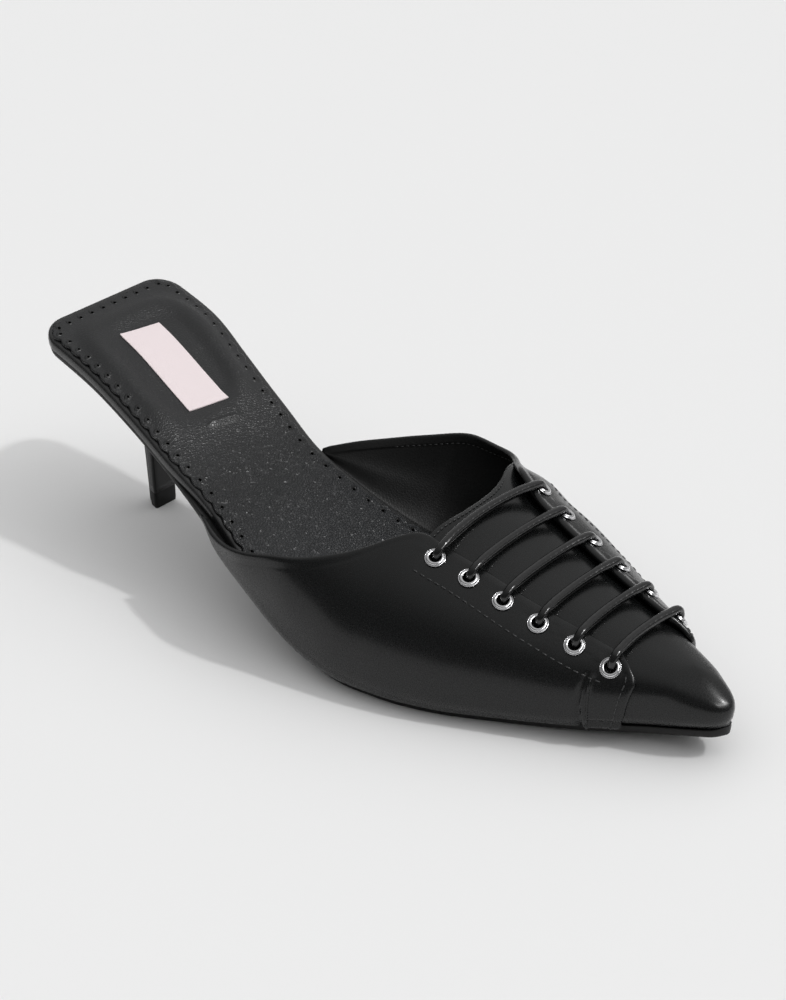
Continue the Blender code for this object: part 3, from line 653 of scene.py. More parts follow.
@dataclass(frozen=True)
class Leather:
    """Finish of one kind of coated leather or moulded sheet."""

    name: str
    colour: tuple[float, float, float]
    roughness: float
    cell: float = 900.0
    crease: float = 0.5
    depth: float = 0.05
    distance: float = 0.10 * MM
    gloss: float = 0.3
    coat: float = 0.15
    coat_roughness: float = 0.25
    polish: float = 0.10
    lighter: float = 1.35
    crease_rough: float = 0.12
    holes: bool = False
    smooth_to: float | None = None
    # Painted glint: how far the colour brightens toward the front of a piece that has smooth_to
    painted_glint_factor: float = 3.4

    def tone(self, factor: float = 1.0) -> tuple[float, ...]:
        """The colour times a factor, opaque."""
        return (*(c * factor for c in self.colour), 1)

    def build(self) -> bpy.types.Material:
        """Make the material, or find it where it is made already.

        Returns:
            The material.
        """
        found = bpy.data.materials.get(self.name)
        if found:
            return found
        made, graph, shader, place = blank(self.name)
        grain = graph.add("Group", {"Vector": place, "Cell": self.cell, "Crease": self.crease},
                          node_tree=Effects.grain())
        polish = graph.add("Group", {"Vector": place, "Amount": self.polish}, node_tree=Effects.wear())
        colour = graph.blend(polish.outputs["Cloud mask"], self.tone(), self.tone(self.lighter))
        height = grain.outputs["Height"]
        if self.smooth_to is not None:
            where = graph.add("SeparateXYZ", {0: place}).outputs[0]
            share = graph.ramp(where, self.smooth_to - 12 * MM, self.smooth_to + 22 * MM, 0.2, 1.0)
            height = graph.math("MULTIPLY", height, share)
            # Painted glint: ahead of smooth_to the colour brightens toward the toe, standing in for the lit
            # facets of the grain
            forward = graph.ramp(where, self.smooth_to, self.smooth_to + 60 * MM)
            colour = graph.blend(forward, colour, self.tone(self.painted_glint_factor))
        if self.holes:
            hole, rim = self.pins(graph)
            # Painted shade: inside each pin hole the colour goes near black for the shade down in it; the
            # dent round the hole is bump
            colour = graph.blend(hole, colour, (0.001, 0.001, 0.001, 1))
            height = graph.math("SUBTRACT", height, graph.math("MULTIPLY", rim, 1.6))
        rough = graph.math("ADD", polish.outputs["Shift"], self.roughness)
        creased = graph.math("MULTIPLY", grain.outputs["Crease mask"], self.crease_rough)
        bump = graph.add("Bump", {"Height": height, "Strength": self.depth, "Distance": self.distance})
        graph.join(shader, {
            "Base Color": colour, "Roughness": graph.math("ADD", rough, creased), "Normal": bump.outputs[0],
            "Specular IOR Level": self.gloss, "Coat Weight": self.coat,
            "Coat Roughness": self.coat_roughness})
        return made

    def pins(self, graph: Graph) -> tuple[bpy.types.NodeSocket, bpy.types.NodeSocket]:
        """Pin holes along the border, read from the border map, which is in millimetres.

        Args:
            graph: the material's nodes.

        Returns:
            Masks of the holes and of the dents round them.
        """
        border = graph.add("SeparateXYZ", {0: graph.add("UVMap", uv_map="border").outputs[0]})
        made = graph.add("Group", {"Along": border.outputs[0], "Inward": border.outputs[1], "Pitch": 4.9,
                                   "Row": 1.7, "Radius": 0.55}, node_tree=Effects.pin_holes())
        return made.outputs["Hole"], made.outputs["Rim"]


@dataclass(frozen=True)
class Metal:
    """Bright plated metal."""

    name: str = "eyelet_plate"
    colour: tuple[float, float, float] = (0.70, 0.70, 0.71)
    roughness: float = 0.16
    cloud: float = 300.0
    polish: float = 0.12

    def build(self) -> bpy.types.Material:
        """Make the material.

        Returns:
            The material.
        """
        made, graph, shader, place = blank(self.name)
        polish = graph.add("Group", {"Vector": place, "Cloud": self.cloud, "Amount": self.polish},
                           node_tree=Effects.wear())
        graph.join(shader, {"Base Color": (*self.colour, 1), "Metallic": 1.0,
                            "Roughness": graph.math("ADD", polish.outputs["Shift"], self.roughness)})
        return made


@dataclass(frozen=True)
class Cord:
    """Waxed round cord with a fine braid."""

    name: str = "waxed_cord"
    colour: tuple[float, float, float] = (0.0030, 0.0031, 0.0034)
    roughness: float = 0.20
    strands: float = 5.0
    pitch: float = 2.4 * MM
    depth: float = 0.16
    polish: float = 0.15
    gloss: float = 0.35
    coat: float = 0.55
    coat_roughness: float = 0.10

    def build(self) -> bpy.types.Material:
        """Make the material.

        Returns:
            The material.
        """
        made, graph, shader, place = blank(self.name)
        where = graph.add("SeparateXYZ", {0: graph.add("UVMap", uv_map="cord").outputs[0]})
        turn = graph.math("MULTIPLY", where.outputs[0], self.strands)
        along = graph.math("DIVIDE", where.outputs[1], self.pitch / MM)
        waves = [graph.math("SINE", graph.math("MULTIPLY", graph.math(way, turn, along), 2 * math.pi))
                 for way in ("ADD", "SUBTRACT")]
        braid = graph.math("MAXIMUM", *waves)
        polish = graph.add("Group", {"Vector": place, "Amount": self.polish}, node_tree=Effects.wear())
        bump = graph.add("Bump", {"Height": braid, "Strength": self.depth, "Distance": 0.10 * MM})
        graph.join(shader, {
            "Base Color": (*self.colour, 1), "Normal": bump.outputs[0],
            "Roughness": graph.math("ADD", polish.outputs["Shift"], self.roughness),
            "Specular IOR Level": self.gloss, "Coat Weight": self.coat,
            "Coat Roughness": self.coat_roughness})
        return made


@dataclass(frozen=True)
class Weave:
    """Fine woven tape of the label."""

    name: str = "label_weave"
    colour: tuple[float, float, float] = (0.800, 0.705, 0.715)
    threads: float = 3.4
    darker: float = 0.96
    roughness: float = 0.55
    sheen: float = 0.2

    def build(self) -> bpy.types.Material:
        """Make the material.

        Returns:
            The material.
        """
        made, graph, shader, _ = blank(self.name)
        where = graph.add("SeparateXYZ", {0: graph.add("UVMap", uv_map="weave").outputs[0]})
        waves = [graph.math("SINE", graph.math("MULTIPLY", where.outputs[i], self.threads * 2 * math.pi))
                 for i in (0, 1)]
        weave = graph.math("MULTIPLY", *waves)
        low = (*(c * self.darker for c in self.colour), 1)
        bump = graph.add("Bump", {"Height": weave, "Strength": 0.25, "Distance": 0.04 * MM})
        graph.join(shader, {
            "Base Color": graph.blend(graph.ramp(weave, -1.0, 1.0), low, (*self.colour, 1)),
            "Normal": bump.outputs[0], "Roughness": self.roughness, "Sheen Weight": self.sheen})
        return made


@dataclass(frozen=True)
class Finishes:
    """Every finish of the shoe."""

    upper: Leather = Leather("vamp_leather", (0.0030, 0.0033, 0.0034), 0.25, 1100.0, 0.35, 0.10,
                             gloss=0.24, coat=0.34, coat_roughness=0.20)
    lining: Leather = Leather("quarter_lining", (0.0058, 0.0060, 0.0060), 0.38, 1300.0, 0.7, 0.35,
                              gloss=0.34, coat=0.0)
    rim: Leather = Leather("rim_leather", (0.0056, 0.0058, 0.0060), 0.26, 1300.0, 0.35, 0.10,
                           gloss=0.55, coat=0.20)
    sock: Leather = Leather("sock_leather", (0.0060, 0.0064, 0.0070), 0.31, 1150.0, 1.0, 1.0, 0.22 * MM,
                            gloss=0.55, coat=0.0, polish=0.18, holes=True, smooth_to=-58 * MM)
    # Near-black discs in the sock's pin holes: painted shade for the depth of each hole
    pin: Leather = Leather("pin_hole_painted_shade", (0.0004, 0.0004, 0.0004), 0.90, gloss=0.0, coat=0.0)
    sole: Leather = Leather("sole_rubber", (0.0060, 0.0060, 0.0060), 0.42, 1900.0, 0.2, 0.12, coat=0.0)
    heel: Leather = Leather("heel_cover", (0.0036, 0.0037, 0.0038), 0.30, 1200.0, 0.25, 0.08, gloss=0.25)
    tip: Leather = Leather("heel_tip_rubber", (0.0034, 0.0035, 0.0036), 0.42, 2200.0, 0.2, 0.12,
                           gloss=0.22, coat=0.0)
    thread: Leather = Leather("black_thread", (0.0170, 0.0175, 0.0180), 0.42, 2500.0, 0.2, 0.15, gloss=0.5)
    metal: Metal = Metal()
    cord: Cord = Cord()
    label: Weave = Weave()


def make_mesh(name: str, verts: Array, faces: Sequence[Sequence[int]]) -> bpy.types.Object:
    """Make a smooth-shaded object from points and faces, with its faces pointing out.

    Args:
        name: the object's name.
        verts: points, n by 3.
        faces: corner indices of each face.

    Returns:
        The object, linked into the scene.
    """
    mesh = bpy.data.meshes.new(name)
    mesh.from_pydata(np.asarray(verts, dtype=float).tolist(), [], [tuple(int(i) for i in f) for f in faces])
    work = bmesh.new()
    work.from_mesh(mesh)
    bmesh.ops.recalc_face_normals(work, faces=work.faces)
    work.to_mesh(mesh)
    work.free()
    mesh.shade_smooth()
    made = bpy.data.objects.new(name, mesh)
    bpy.context.scene.collection.objects.link(made)
    return made


def dress(made: bpy.types.Object, slot: str, finishes: Sequence[bpy.types.Material],
          *nodes: str) -> bpy.types.Object:
    """Give a piece its materials and its place on the body.

    Args:
        made: the piece.
        slot: not used.
        finishes: materials, in the order of the mesh's material indices.
        *nodes: nodes of the solids that it stands for.

    Returns:
        The piece.
    """
    for finish in finishes:
        made.data.materials.append(finish)
    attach(made, "root")
    if nodes:
        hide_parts(*nodes)
    return made


def grid_faces(rows: int, columns: int, around: bool = False, start: int = 0) -> list[tuple]:
    """Quads of a grid of points, closed on itself along its columns where it goes around.

    Args:
        rows: rows of points.
        columns: points in a row.
        around: whether rows close.
        start: index of the first point.

    Returns:
        The faces.
    """
    last = columns if around else columns - 1
    faces = []
    for i in range(rows - 1):
        for j in range(last):
            k = (j + 1) % columns
            faces.append((start + i * columns + j, start + i * columns + k,
                          start + (i + 1) * columns + k, start + (i + 1) * columns + j))
    return faces


def capped_faces(rows: int, columns: int) -> list[tuple]:
    """Quads of a grid that closes round its columns, and a face at each end."""
    ends = [tuple(range(columns)), tuple(range((rows - 1) * columns, rows * columns))]
    return grid_faces(rows, columns, around=True) + ends


def grid_normals(points: Array) -> Array:
    """Unit directions square to a grid of points."""
    return unit(np.cross(np.gradient(points, axis=0), np.gradient(points, axis=1)))


def loft(name: str, loops: Array) -> bpy.types.Object:
    """Closed solid through loops of equal count, capped at both ends.

    Args:
        name: the object's name.
        loops: stations by points by 3.

    Returns:
        The object.
    """
    return make_mesh(name, loops.reshape(-1, 3), capped_faces(*loops.shape[:2]))


def tube(path: Array, radii: Array, sides: int, across: Array,
         flat: Array | float = 1.0) -> tuple[Array, list[tuple]]:
    """Points and faces of a capped tube along a path.

    Args:
        path: middle points.
        radii: radius at each point.
        sides: points round it.
        across: a direction that the path never takes.
        flat: height of the tube as a share of its width, at each point.

    Returns:
        Points and faces.
    """
    ways = unit(np.gradient(path, axis=0))
    side = unit(across - ways * (ways @ across)[:, None])
    up = np.cross(side, ways)
    turns = np.linspace(0, 2 * math.pi, sides, endpoint=False)
    up = up * np.broadcast_to(flat, len(path))[:, None]
    ring = np.cos(turns)[None, :, None] * side[:, None] + np.sin(turns)[None, :, None] * up[:, None]
    points = path[:, None] + ring * radii[:, None, None]
    return points.reshape(-1, 3), capped_faces(len(path), sides)


@dataclass
class Stitch:
    """One kind of sewn row: short arched stitches, joined into one mesh."""

    length: float = 1.9 * MM
    pitch: float = 2.5 * MM
    radius: float = 0.22 * MM
    sunk: float = 0.02 * MM
    rings: int = 6
    sides: int = 6

    def row(self, path: Array, normals: Array) -> tuple[Array, list[tuple]]:
        """Stitches along a path on a surface.

        Args:
            path: points on the surface.
            normals: the surface's outward directions there.

        Returns:
            Points and faces of every stitch.
        """
        run = run_along(path)
        verts, faces = [], []
        for middle in np.arange(self.pitch / 2, run[-1] - self.length / 2, self.pitch):
            at = middle + np.linspace(-0.5, 0.5, self.rings) * self.length
            points, out = read_along(at, run, path), read_along(at, run, normals)
            share = np.linspace(-1, 1, self.rings)
            lift = self.radius * (1 - 1.3 * share ** 4) - self.sunk
            radii = self.radius * np.sqrt(np.maximum(1 - share ** 4, 0.08))
            v, f = tube(points + out * lift[:, None], radii, self.sides, out[len(out) // 2])
            faces += [tuple(i + len(verts) * len(v) for i in face) for face in f]
            verts.append(v)
        return np.concatenate(verts), faces


def joined(parts: Sequence[tuple[Array, list[tuple]]]) -> tuple[Array, list[tuple]]:
    """Several sets of points and faces as one.

    Args:
        parts: points and faces of each.

    Returns:
        Points and faces.
    """
    verts, faces, count = [], [], 0
    for v, f in parts:
        faces += [tuple(i + count for i in face) for face in f]
        verts.append(v)
        count += len(v)
    return np.concatenate(verts), faces


def stations(last: Last, back: float, front: float, spacing: float) -> tuple[Array, Array]:
    """Stations of a flat piece and where each lies, dense round the corners and the tip.

    Args:
        last: the last.
        back: where station 0 lies.
        front: where the tip lies.
        spacing: distance between plain stations.

    Returns:
        Stations on the plan, and their places.
    """
    corner = last.seat_corner * (1 - np.cos(np.radians(np.arange(0, 90, 7.5))))
    tip = last.length - last.toe_radius * (1 - np.sin(np.radians([0, 15, 30, 42, 54, 64, 73, 81, 87])))
    count = round((last.length - last.toe_radius - last.seat_corner) / spacing)
    middle = np.linspace(last.seat_corner, last.length - last.toe_radius, count, endpoint=False)
    s = np.concatenate([corner, middle, tip])
    third = last.length / 3
    x = s + back * np.maximum(1 - s / third, 0)
    x = x - (last.length - front) * np.maximum(1 - (last.length - s) / third, 0)
    return s, x


def plate_loops(last: Last, x: Array, outs: dict, low: Array, high: Array, edges: tuple,
                bulge: float) -> Array:
    """Loops of a flat piece whose edges are rounded, with flat faces between them.

    Args:
        last: the last.
        x: station of each loop.
        outs: distance of the edge from the axis on each side.
        low: height of the underside.
        high: height of the top.
        edges: radius of the rounding above and below.
        bulge: how far the middle of the edge stands out.

    Returns:
        Loops, stations by points by 3.
    """
    turns = np.radians(np.linspace(90, 0, 5))
    across = np.linspace(-1, 1, 13)[1:-1]
    loops = []
    for i in range(len(x)):
        most = 0.45 * min(high[i] - low[i], outs[Side.INNER][i], outs[Side.OUTER][i])
        r, q = (min(edge, most) for edge in edges)
        corner_y, corner_z = np.cos(turns), np.sin(turns)
        loop = []
        for side in (Side.INNER, Side.OUTER):
            out = outs[side][i]
            upper = [(out - r + r * a, high[i] - r + r * b) for a, b in zip(corner_y, corner_z)]
            lower = [(out - q + q * a, low[i] + q - q * b) for a, b in zip(corner_y[::-1], corner_z[::-1])]
            middle = [(out + bulge, (high[i] + low[i]) / 2)]
            rim = upper + middle + lower
            rim = rim if side is Side.INNER else rim[::-1]
            loop += [(side.value * y, z) for y, z in rim]
            inset = q if side is Side.INNER else r
            span = (outs[Side.OUTER][i] - inset, outs[Side.INNER][i] - inset)
            if side is Side.INNER:
                loop += [(-a * (span[0] if a > 0 else span[1]), low[i]) for a in across]
            else:
                loop += [(a * (span[1] if a > 0 else span[0]), high[i]) for a in across]
        loop = np.array(loop)
        loops.append(last.place(np.full(len(loop), x[i]), loop[:, 0], loop[:, 1]))
    return np.array(loops)


@dataclass
class Bottom:
    """Outsole, heel and heel tip."""

    last: Last
    finishes: Finishes
    setback: float = 0.35 * MM
    rim_back: float = 1.4 * MM
    edges: tuple = (0.35 * MM, 0.8 * MM)
    bulge: float = 0.15 * MM
    spacing: float = 2.2 * MM
    heel_front: float = 23.2 * MM
    heel_aside: float = 2.0 * MM
    heel_depth: float = 7.4 * MM
    heel_width: float = 9.4 * MM
    tip_height: float = 5.7 * MM
    # Tip: height share, width as a share of the heel's
    tip_levels: tuple = ((0.0, 0.96), (0.2, 0.99), (0.95, 0.99), (1.0, 0.975))
    tip_seam: float = 0.06 * MM
    heel_corner: float = 0.16
    heel_taper: float = 0.8
    heel_back: float = 0.9
    tip_sharp: float = math.radians(50)
    # Height share, front forward, back rearward, front width, back width
    heel_rows: tuple = (
        (0.00, 0.00, 0.00, 1.00, 0.42), (0.25, -0.07, 0.05, 0.92, 0.42), (0.55, -0.19, 0.16, 0.83, 0.44),
        (0.78, -0.26, 0.32, 0.80, 0.54), (0.90, -0.27, 0.62, 0.84, 0.72), (0.97, -0.25, 1.05, 0.96, 1.05),
        (1.00, -0.22, 1.45, 1.08, 1.40),
    )

    def outsole(self) -> None:
        """Outsole with its covered band at the seat and a thin forepart."""
        last = self.last
        s, x = stations(last, self.setback - self.rim_back, last.length, self.spacing)
        setback = self.setback * last.insets[1](s / last.length)
        outs = {side: last.outline(side, s) - setback for side in Side}
        loops = plate_loops(last, x, outs, last.underside(x), last.sole_top(x), self.edges, self.bulge)
        dress(loft("sole", loops), "outsole", [self.finishes.sole.build()], "outsole")

    def heel_plan(self, share: float, fine: int = 8) -> Array:
        """Loop of one heel section: a flat front with small corners and a rounded back.

        Args:
            share: height share.
            fine: points of the rounded back on each side.

        Returns:
            Station and distance inward of each point.
        """
        front, back, wide, narrow = (float(column(self.heel_rows, i, 0.012)(share)) for i in range(1, 5))
        start = self.heel_front + front * self.heel_depth
        end = self.heel_front - self.heel_depth - back * self.heel_depth
        wide, narrow = wide * self.heel_width / 2, narrow * self.heel_width / 2
        corner = self.heel_corner * wide
        turns = np.radians(np.linspace(0, 90, 4))
        half = [(start - corner * (1 - math.cos(a)), wide - corner * (1 - math.sin(a))) for a in turns]
        depth = start - corner - end
        half += [(start - corner - depth * k, wide + (narrow - wide) * k * self.heel_taper)
                 for k in (0.15, 0.3, 0.45)]
        bulge = narrow * self.heel_back
        half += [(end + bulge * (1 - math.sin(a)), narrow * math.cos(a))
                 for a in np.radians(np.linspace(0, 84, fine))]
        half = [(start, wide * 0.5)] + half
        loop = half + [(s, -y) for s, y in half[::-1]]
        return np.array([(s, self.heel_aside + y) for s, y in loop])

    def heel(self) -> None:
        """Slim covered heel that curves back into the seat, and its tip."""
        last = self.last
        floor = self.tip_height + self.tip_seam
        shares = np.concatenate([np.linspace(0, 0.75, 16), np.linspace(0.78, 1.0, 16)])
        loops = []
        for share in shares:
            plan = self.heel_plan(float(share))
            ceiling = last.underside(plan[:, 0]) - last.gap
            loops.append(last.place(plan[:, 0], plan[:, 1], floor + (ceiling - floor) * share))
        dress(loft("heel_stem", np.array(loops)), "heel", [self.finishes.heel.build()], "heel")
        plan = self.heel_plan(0.0)
        middle = np.array([self.heel_front - self.heel_depth / 2, self.heel_aside])
        tip = []
        for height, inset in self.tip_levels:
            ring = middle + (plan - middle) * inset
            tip.append(last.place(ring[:, 0], ring[:, 1], height * self.tip_height))
        made = loft("heel_top_piece", np.array(tip))
        made.data.set_sharp_from_angle(angle=self.tip_sharp)
        dress(made, "heel_tip", [self.finishes.tip.build()], "heel_tip")


@dataclass
class Footbed:
    """Insole board with its wrapped rim, the sock lining on it and the label."""

    last: Last
    finishes: Finishes
    rim_back: float = 1.4 * MM
    rim_edges: tuple = (1.3 * MM, 0.3 * MM)
    rim_bulge: float = 0.1 * MM
    seam: float = 0.04 * MM
    spacing: float = 2.2 * MM
    back_margin: float = 3.3 * MM
    margins: dict = field(default_factory=lambda: {Side.OUTER: 2.0 * MM, Side.INNER: 3.5 * MM})
    pin_row: float = 1.7 * MM
    pin_radius: float = 0.50 * MM
    sock_length: float = 168.0 * MM
    sock_thickness: float = 0.9 * MM
    sock_rows: int = 210
    scallop_pitch: float = 4.9 * MM
    scallop_depth: float = 1.0 * MM
    pad_length: float = 66.0 * MM
    pad_height: float = 2.1 * MM
    pad_dish: float = 1.9 * MM
    pad_margin: float = 3.4 * MM
    pad_front: float = 49.0 * MM
    pad_open: float = 0.65
    pad_run: float = 15.0 * MM
    pad_slope: float = 0.24
    pad_crest: float = 0.74
    fold_station: float = 62.8 * MM
    fold_height: float = 1.1 * MM
    fold_half: float = 7.5 * MM
    fold_width: float = 0.9 * MM
    label_length: float = 36.2 * MM
    label_width: float = 15.2 * MM
    label_thickness: float = 0.4 * MM
    label_station: float = 37.4 * MM
    label_aside: float = 2.5 * MM
    label_turn: float = math.radians(8.2)
    label_round: float = 0.15 * MM
    label_seat: float = 0.04 * MM
    label_lift: float = 0.1 * MM
    label_sharp: float = math.radians(50)
    pin_lift: float = 0.03 * MM
    pin_crown: float = 0.02 * MM
    pin_depth: float = 0.3 * MM
    pin_sides: int = 14
    softness: float = 0.5

    def insole(self) -> None:
        """Wrapped board under the foot."""
        last = self.last
        front = last.length - 2 * last.quarter_wall - last.toe_radius / 2
        s, x = stations(last, -self.rim_back, front, self.spacing)
        outs = {side: np.maximum(last.insole_out(side, s), 0.5 * MM) for side in Side}
        loops = plate_loops(last, x, outs, last.sole_top(x) + self.seam, last.insole_top(x),
                            self.rim_edges, self.rim_bulge)
        dress(loft("insole_board", loops), "insole_cover", [self.finishes.rim.build()], "insole")

    def sock_height(self, s: Array, across: Array) -> Array:
        """Top of the sock, with the cushion's ridge round its dished middle.

        Args:
            s: stations.
            across: shares of the half width, -1 to 1.

        Returns:
            Heights.
        """
        last = self.last
        middle = self.pad_length / 2 + self.pad_margin
        ring = ((np.abs(s - middle) / (self.pad_length / 2)) ** 4 + np.abs(across) ** 4) ** 0.25
        ridge = self.pad_height * smooth_step(1 - ring, 0.0, self.pad_slope)
        dish = self.pad_dish * smooth_step(self.pad_crest - ring, 0.0, self.pad_slope)
        front = 1 - self.pad_open * smooth_step(s, self.pad_front, self.pad_front + self.pad_run)
        return last.insole_top(s) + last.gap + self.sock_thickness + (ridge - dish) * front

    def fold(self, s: Array, y: Array) -> Array:
        """Small fold across the lining, just ahead of the label.

        Args:
            s: stations.
            y: distances inward.

        Returns:
            Rise at each point.
        """
        along = s - self.fold_station - math.tan(self.label_turn) * (y + self.label_aside)
        aside = smooth_step(self.fold_half - np.abs(y + self.label_aside + 3 * MM), 0.0, 4 * MM)
        return self.fold_height * swell(along, 0.0, self.fold_width) * aside

    def sock(self) -> None:
        """Grained lining with a scalloped and pin-holed edge over the cushion."""
        last = self.last
        start = self.back_margin - self.rim_back
        radius = last.seat_corner - self.back_margin
        corner = radius * (1 - np.cos(np.radians(np.arange(0, 90, 9))))
        near_fold = self.fold_station - start + np.arange(-4, 4, 0.25) * MM
        plain = np.linspace(radius, self.sock_length - start, self.sock_rows)
        s = np.unique(start + np.concatenate([corner, plain, near_fold]))
        half_turn = np.linspace(0, 1, 9)[:-1]
        rim = 1 - 0.10 * half_turn ** 1.2
        centre = np.linspace(0.88, -0.88, 41)
        across = np.concatenate([rim, centre, -rim[::-1]])
        ahead = np.clip((s - start) / (self.sock_length - start) - 0.9, 0, 0.1) / 0.1
        narrowing = radius - np.sqrt(np.maximum(radius ** 2 - np.maximum(radius - (s - start), 0) ** 2, 0))
        outs, pins = {}, []
        for side in Side:
            edge = last.insole_out(side, np.maximum(s, last.seat_corner)) - self.margins[side] - narrowing
            steps = np.hypot(np.diff(s, prepend=s[0]), np.diff(edge, prepend=edge[0]))
            wave = np.abs(np.sin(np.cumsum(steps) * math.pi / self.scallop_pitch))
            outs[side] = (edge * np.sqrt(1 - ahead ** 2), self.scallop_depth * wave, np.cumsum(steps))
            pins += self.side_pins(side, s, edge)
        inner, outer = outs[Side.INNER], outs[Side.OUTER]
        middle, half = (inner[0] - outer[0]) / 2, (inner[0] + outer[0]) / 2
        grid_s = np.repeat(s[:, None], len(across), axis=1)
        y = middle[:, None] + half[:, None] * across[None, :]
        fade = np.clip((np.abs(across) - 0.90) / 0.10, 0, 1)[None, :]
        fade = fade * (half > radius)[:, None]
        wave = np.where(across[None, :] > 0, inner[1][:, None], outer[1][:, None])
        y = y + np.sign(across)[None, :] * wave * fade * smooth_step(1 - ahead, 0, 0.3)[:, None]
        back_wave = np.abs(np.sin((y - middle[:, None]) * math.pi / self.scallop_pitch))
        back_fade = np.clip(1 - (grid_s - start) / (2.5 * MM), 0, 1)
        grid_s = grid_s - self.scallop_depth * back_wave * back_fade * (np.abs(across) < 0.97)[None, :]
        z = self.sock_height(grid_s, np.repeat(across[None, :], len(s), axis=0)) + self.fold(grid_s, y)
        rounded = smooth_step(np.abs(across), 0.985, 1.0)[None, :] * 0.25 * self.sock_thickness
        top = last.place(grid_s, y, z - rounded)
        low = last.place(grid_s, y, last.insole_top(grid_s) + 0.05 * MM)
        verts, faces, _ = rounded_shell(top, low, rolls=0)
        made = make_mesh("sock_lining", verts, faces)
        distance = np.minimum(half[:, None] * (1 - np.abs(across))[None, :], s[:, None] - start + 0 * y)
        on_back = (s[:, None] - start) < half[:, None] * (1 - np.abs(across))[None, :]
        length = np.where(across[None, :] > 0, inner[2][:, None], outer[2][:, None])
        along = np.where(on_back, y - middle[:, None] + 100 * self.scallop_pitch, length)
        far = 10 * MM
        border = np.stack([along / MM, np.where(ahead[:, None] > 0, far, distance) / MM], axis=-1)
        both = np.concatenate([border.reshape(-1, 2), np.full_like(border.reshape(-1, 2), far / MM)])
        add_map(made, "border", both)
        dress(made, "sock_lining", [self.finishes.sock.build()], "sock")
        halfway, reach = float(middle[0]), float(half[0])
        count = int(reach / self.scallop_pitch)
        for k in range(-count, count):
            pins.append((start + self.pin_row, halfway + (k + 0.5) * self.scallop_pitch))
        self.pin_discs(pins, s, y, z)

    def side_pins(self, side: Side, s: Array, edge: Array) -> list[tuple[float, float]]:
        """Station and distance inward of each pin hole along one side of the sock.

        Args:
            side: the side of the foot.
            s: stations of the edge.
            edge: its distance from the axis, before the scallops.

        Returns:
            One pair for each hole.
        """
        along, out = np.gradient(s), np.gradient(edge)
        size = np.hypot(along, out)
        length = np.cumsum(np.hypot(np.diff(s, prepend=s[0]), np.diff(edge, prepend=edge[0])))
        row_s = s + self.pin_row * out / size
        row_y = side.value * (edge - self.pin_row * along / size)
        last_hole = np.interp(0.86 * self.sock_length, s, length)
        marks = np.arange(0.5 * self.scallop_pitch, last_hole, self.scallop_pitch)
        return [(float(np.interp(m, length, row_s)), float(np.interp(m, length, row_y))) for m in marks]

    def pin_discs(self, pins: Sequence[tuple], s: Array, y: Array, z: Array) -> None:
        """Pin holes of the sock's edge, each a small near-black disc let into its face as painted shade for
        the hole's depth.

        Args:
            pins: station and distance inward of each hole.
            s: stations of the sock's rows.
            y: distances inward of its points.
            z: heights of its points.
        """
        sides, parts = self.pin_sides, []
        turns = np.linspace(0, 2 * math.pi, sides, endpoint=False)
        for at, inward in pins:
            i = int(np.clip(np.searchsorted(s, at), 1, len(s) - 2))
            heights = [np.interp(inward, y[k, ::-1], z[k, ::-1]) for k in (i - 1, i + 1)]
            rise = (heights[1] - heights[0]) / (s[i + 1] - s[i - 1])
            height = heights[0] + rise * (at - s[i - 1])
            out = np.array([-rise, 0.0, 1.0]) / math.hypot(rise, 1.0)
            along = np.array([out[2], 0.0, -out[0]])
            centre = self.last.place(at, inward, height) + out * self.pin_lift
            across = np.array([0.0, 1.0, 0.0])
            way = np.cos(turns)[:, None] * along + np.sin(turns)[:, None] * across
            ring = centre + self.pin_radius * way
            verts = np.concatenate([ring, [centre + out * self.pin_crown, centre - out * self.pin_depth]])
            faces = [(k, (k + 1) % sides, sides) for k in range(sides)]
            faces += [((k + 1) % sides, k, sides + 1) for k in range(sides)]
            parts.append((verts, faces))
        dress(make_mesh("pin_holes", *joined(parts)), "sock_lining", [self.finishes.pin.build()])

    def label(self) -> None:
        """Bare woven oblong on the cushion."""
        last = self.last
        along = (np.linspace(-0.5, 0.5, 49) * self.label_length)[:, None]
        across = (np.linspace(-0.5, 0.5, 21) * self.label_width)[None, :]
        s = self.label_station + along * math.cos(self.label_turn) + across * math.sin(self.label_turn)
        y = -self.label_aside - along * math.sin(self.label_turn) + across * math.cos(self.label_turn)
        outs = [last.insole_out(side, s) - self.margins[side] for side in (Side.OUTER, Side.INNER)]
        share = (y - (outs[1] - outs[0]) / 2) / ((outs[0] + outs[1]) / 2)
        z = self.sock_height(s, share)
        edge = np.maximum(np.abs(along) / (self.label_length / 2), np.abs(across) / (self.label_width / 2))
        height = self.label_thickness + self.label_lift - self.label_round * smooth_step(edge, 0.93, 1.0)
        top = last.place(s, y, z + height)
        low = last.place(s, y, z + self.label_seat)
        verts, faces, _ = rounded_shell(top, low, rolls=0)
        made = make_mesh("label_tape", verts, faces)
        flat = np.stack(np.broadcast_arrays(along / MM, across / MM), axis=-1).reshape(-1, 2)
        add_map(made, "weave", np.concatenate([flat, flat]))
        made.data.set_sharp_from_angle(angle=self.label_sharp)
        dress(made, "label", [self.finishes.label.build()], "label")


def border_cells(rows: int, columns: int) -> list[tuple[int, int]]:
    """Row and column of each border point of a grid, once round it.

    Args:
        rows: rows of the grid.
        columns: its columns.

    Returns:
        One pair for each point.
    """
    cells = [(0, j) for j in range(columns)]
    cells += [(i, columns - 1) for i in range(1, rows)]
    cells += [(rows - 1, j) for j in range(columns - 2, -1, -1)]
    return cells + [(i, 0) for i in range(rows - 2, 0, -1)]


def add_map(made: bpy.types.Object, name: str, values: Array) -> None:
    """Store a two-number map on a mesh, one value for each point.

    Args:
        made: the object.
        name: the map's name.
        values: points by 2.
    """
    mesh = made.data
    layer = mesh.uv_layers.new(name=name)
    index = np.empty(len(mesh.loops), dtype=np.int32)
    mesh.loops.foreach_get("vertex_index", index)
    layer.data.foreach_set("uv", values[index].astype(np.float32).ravel())


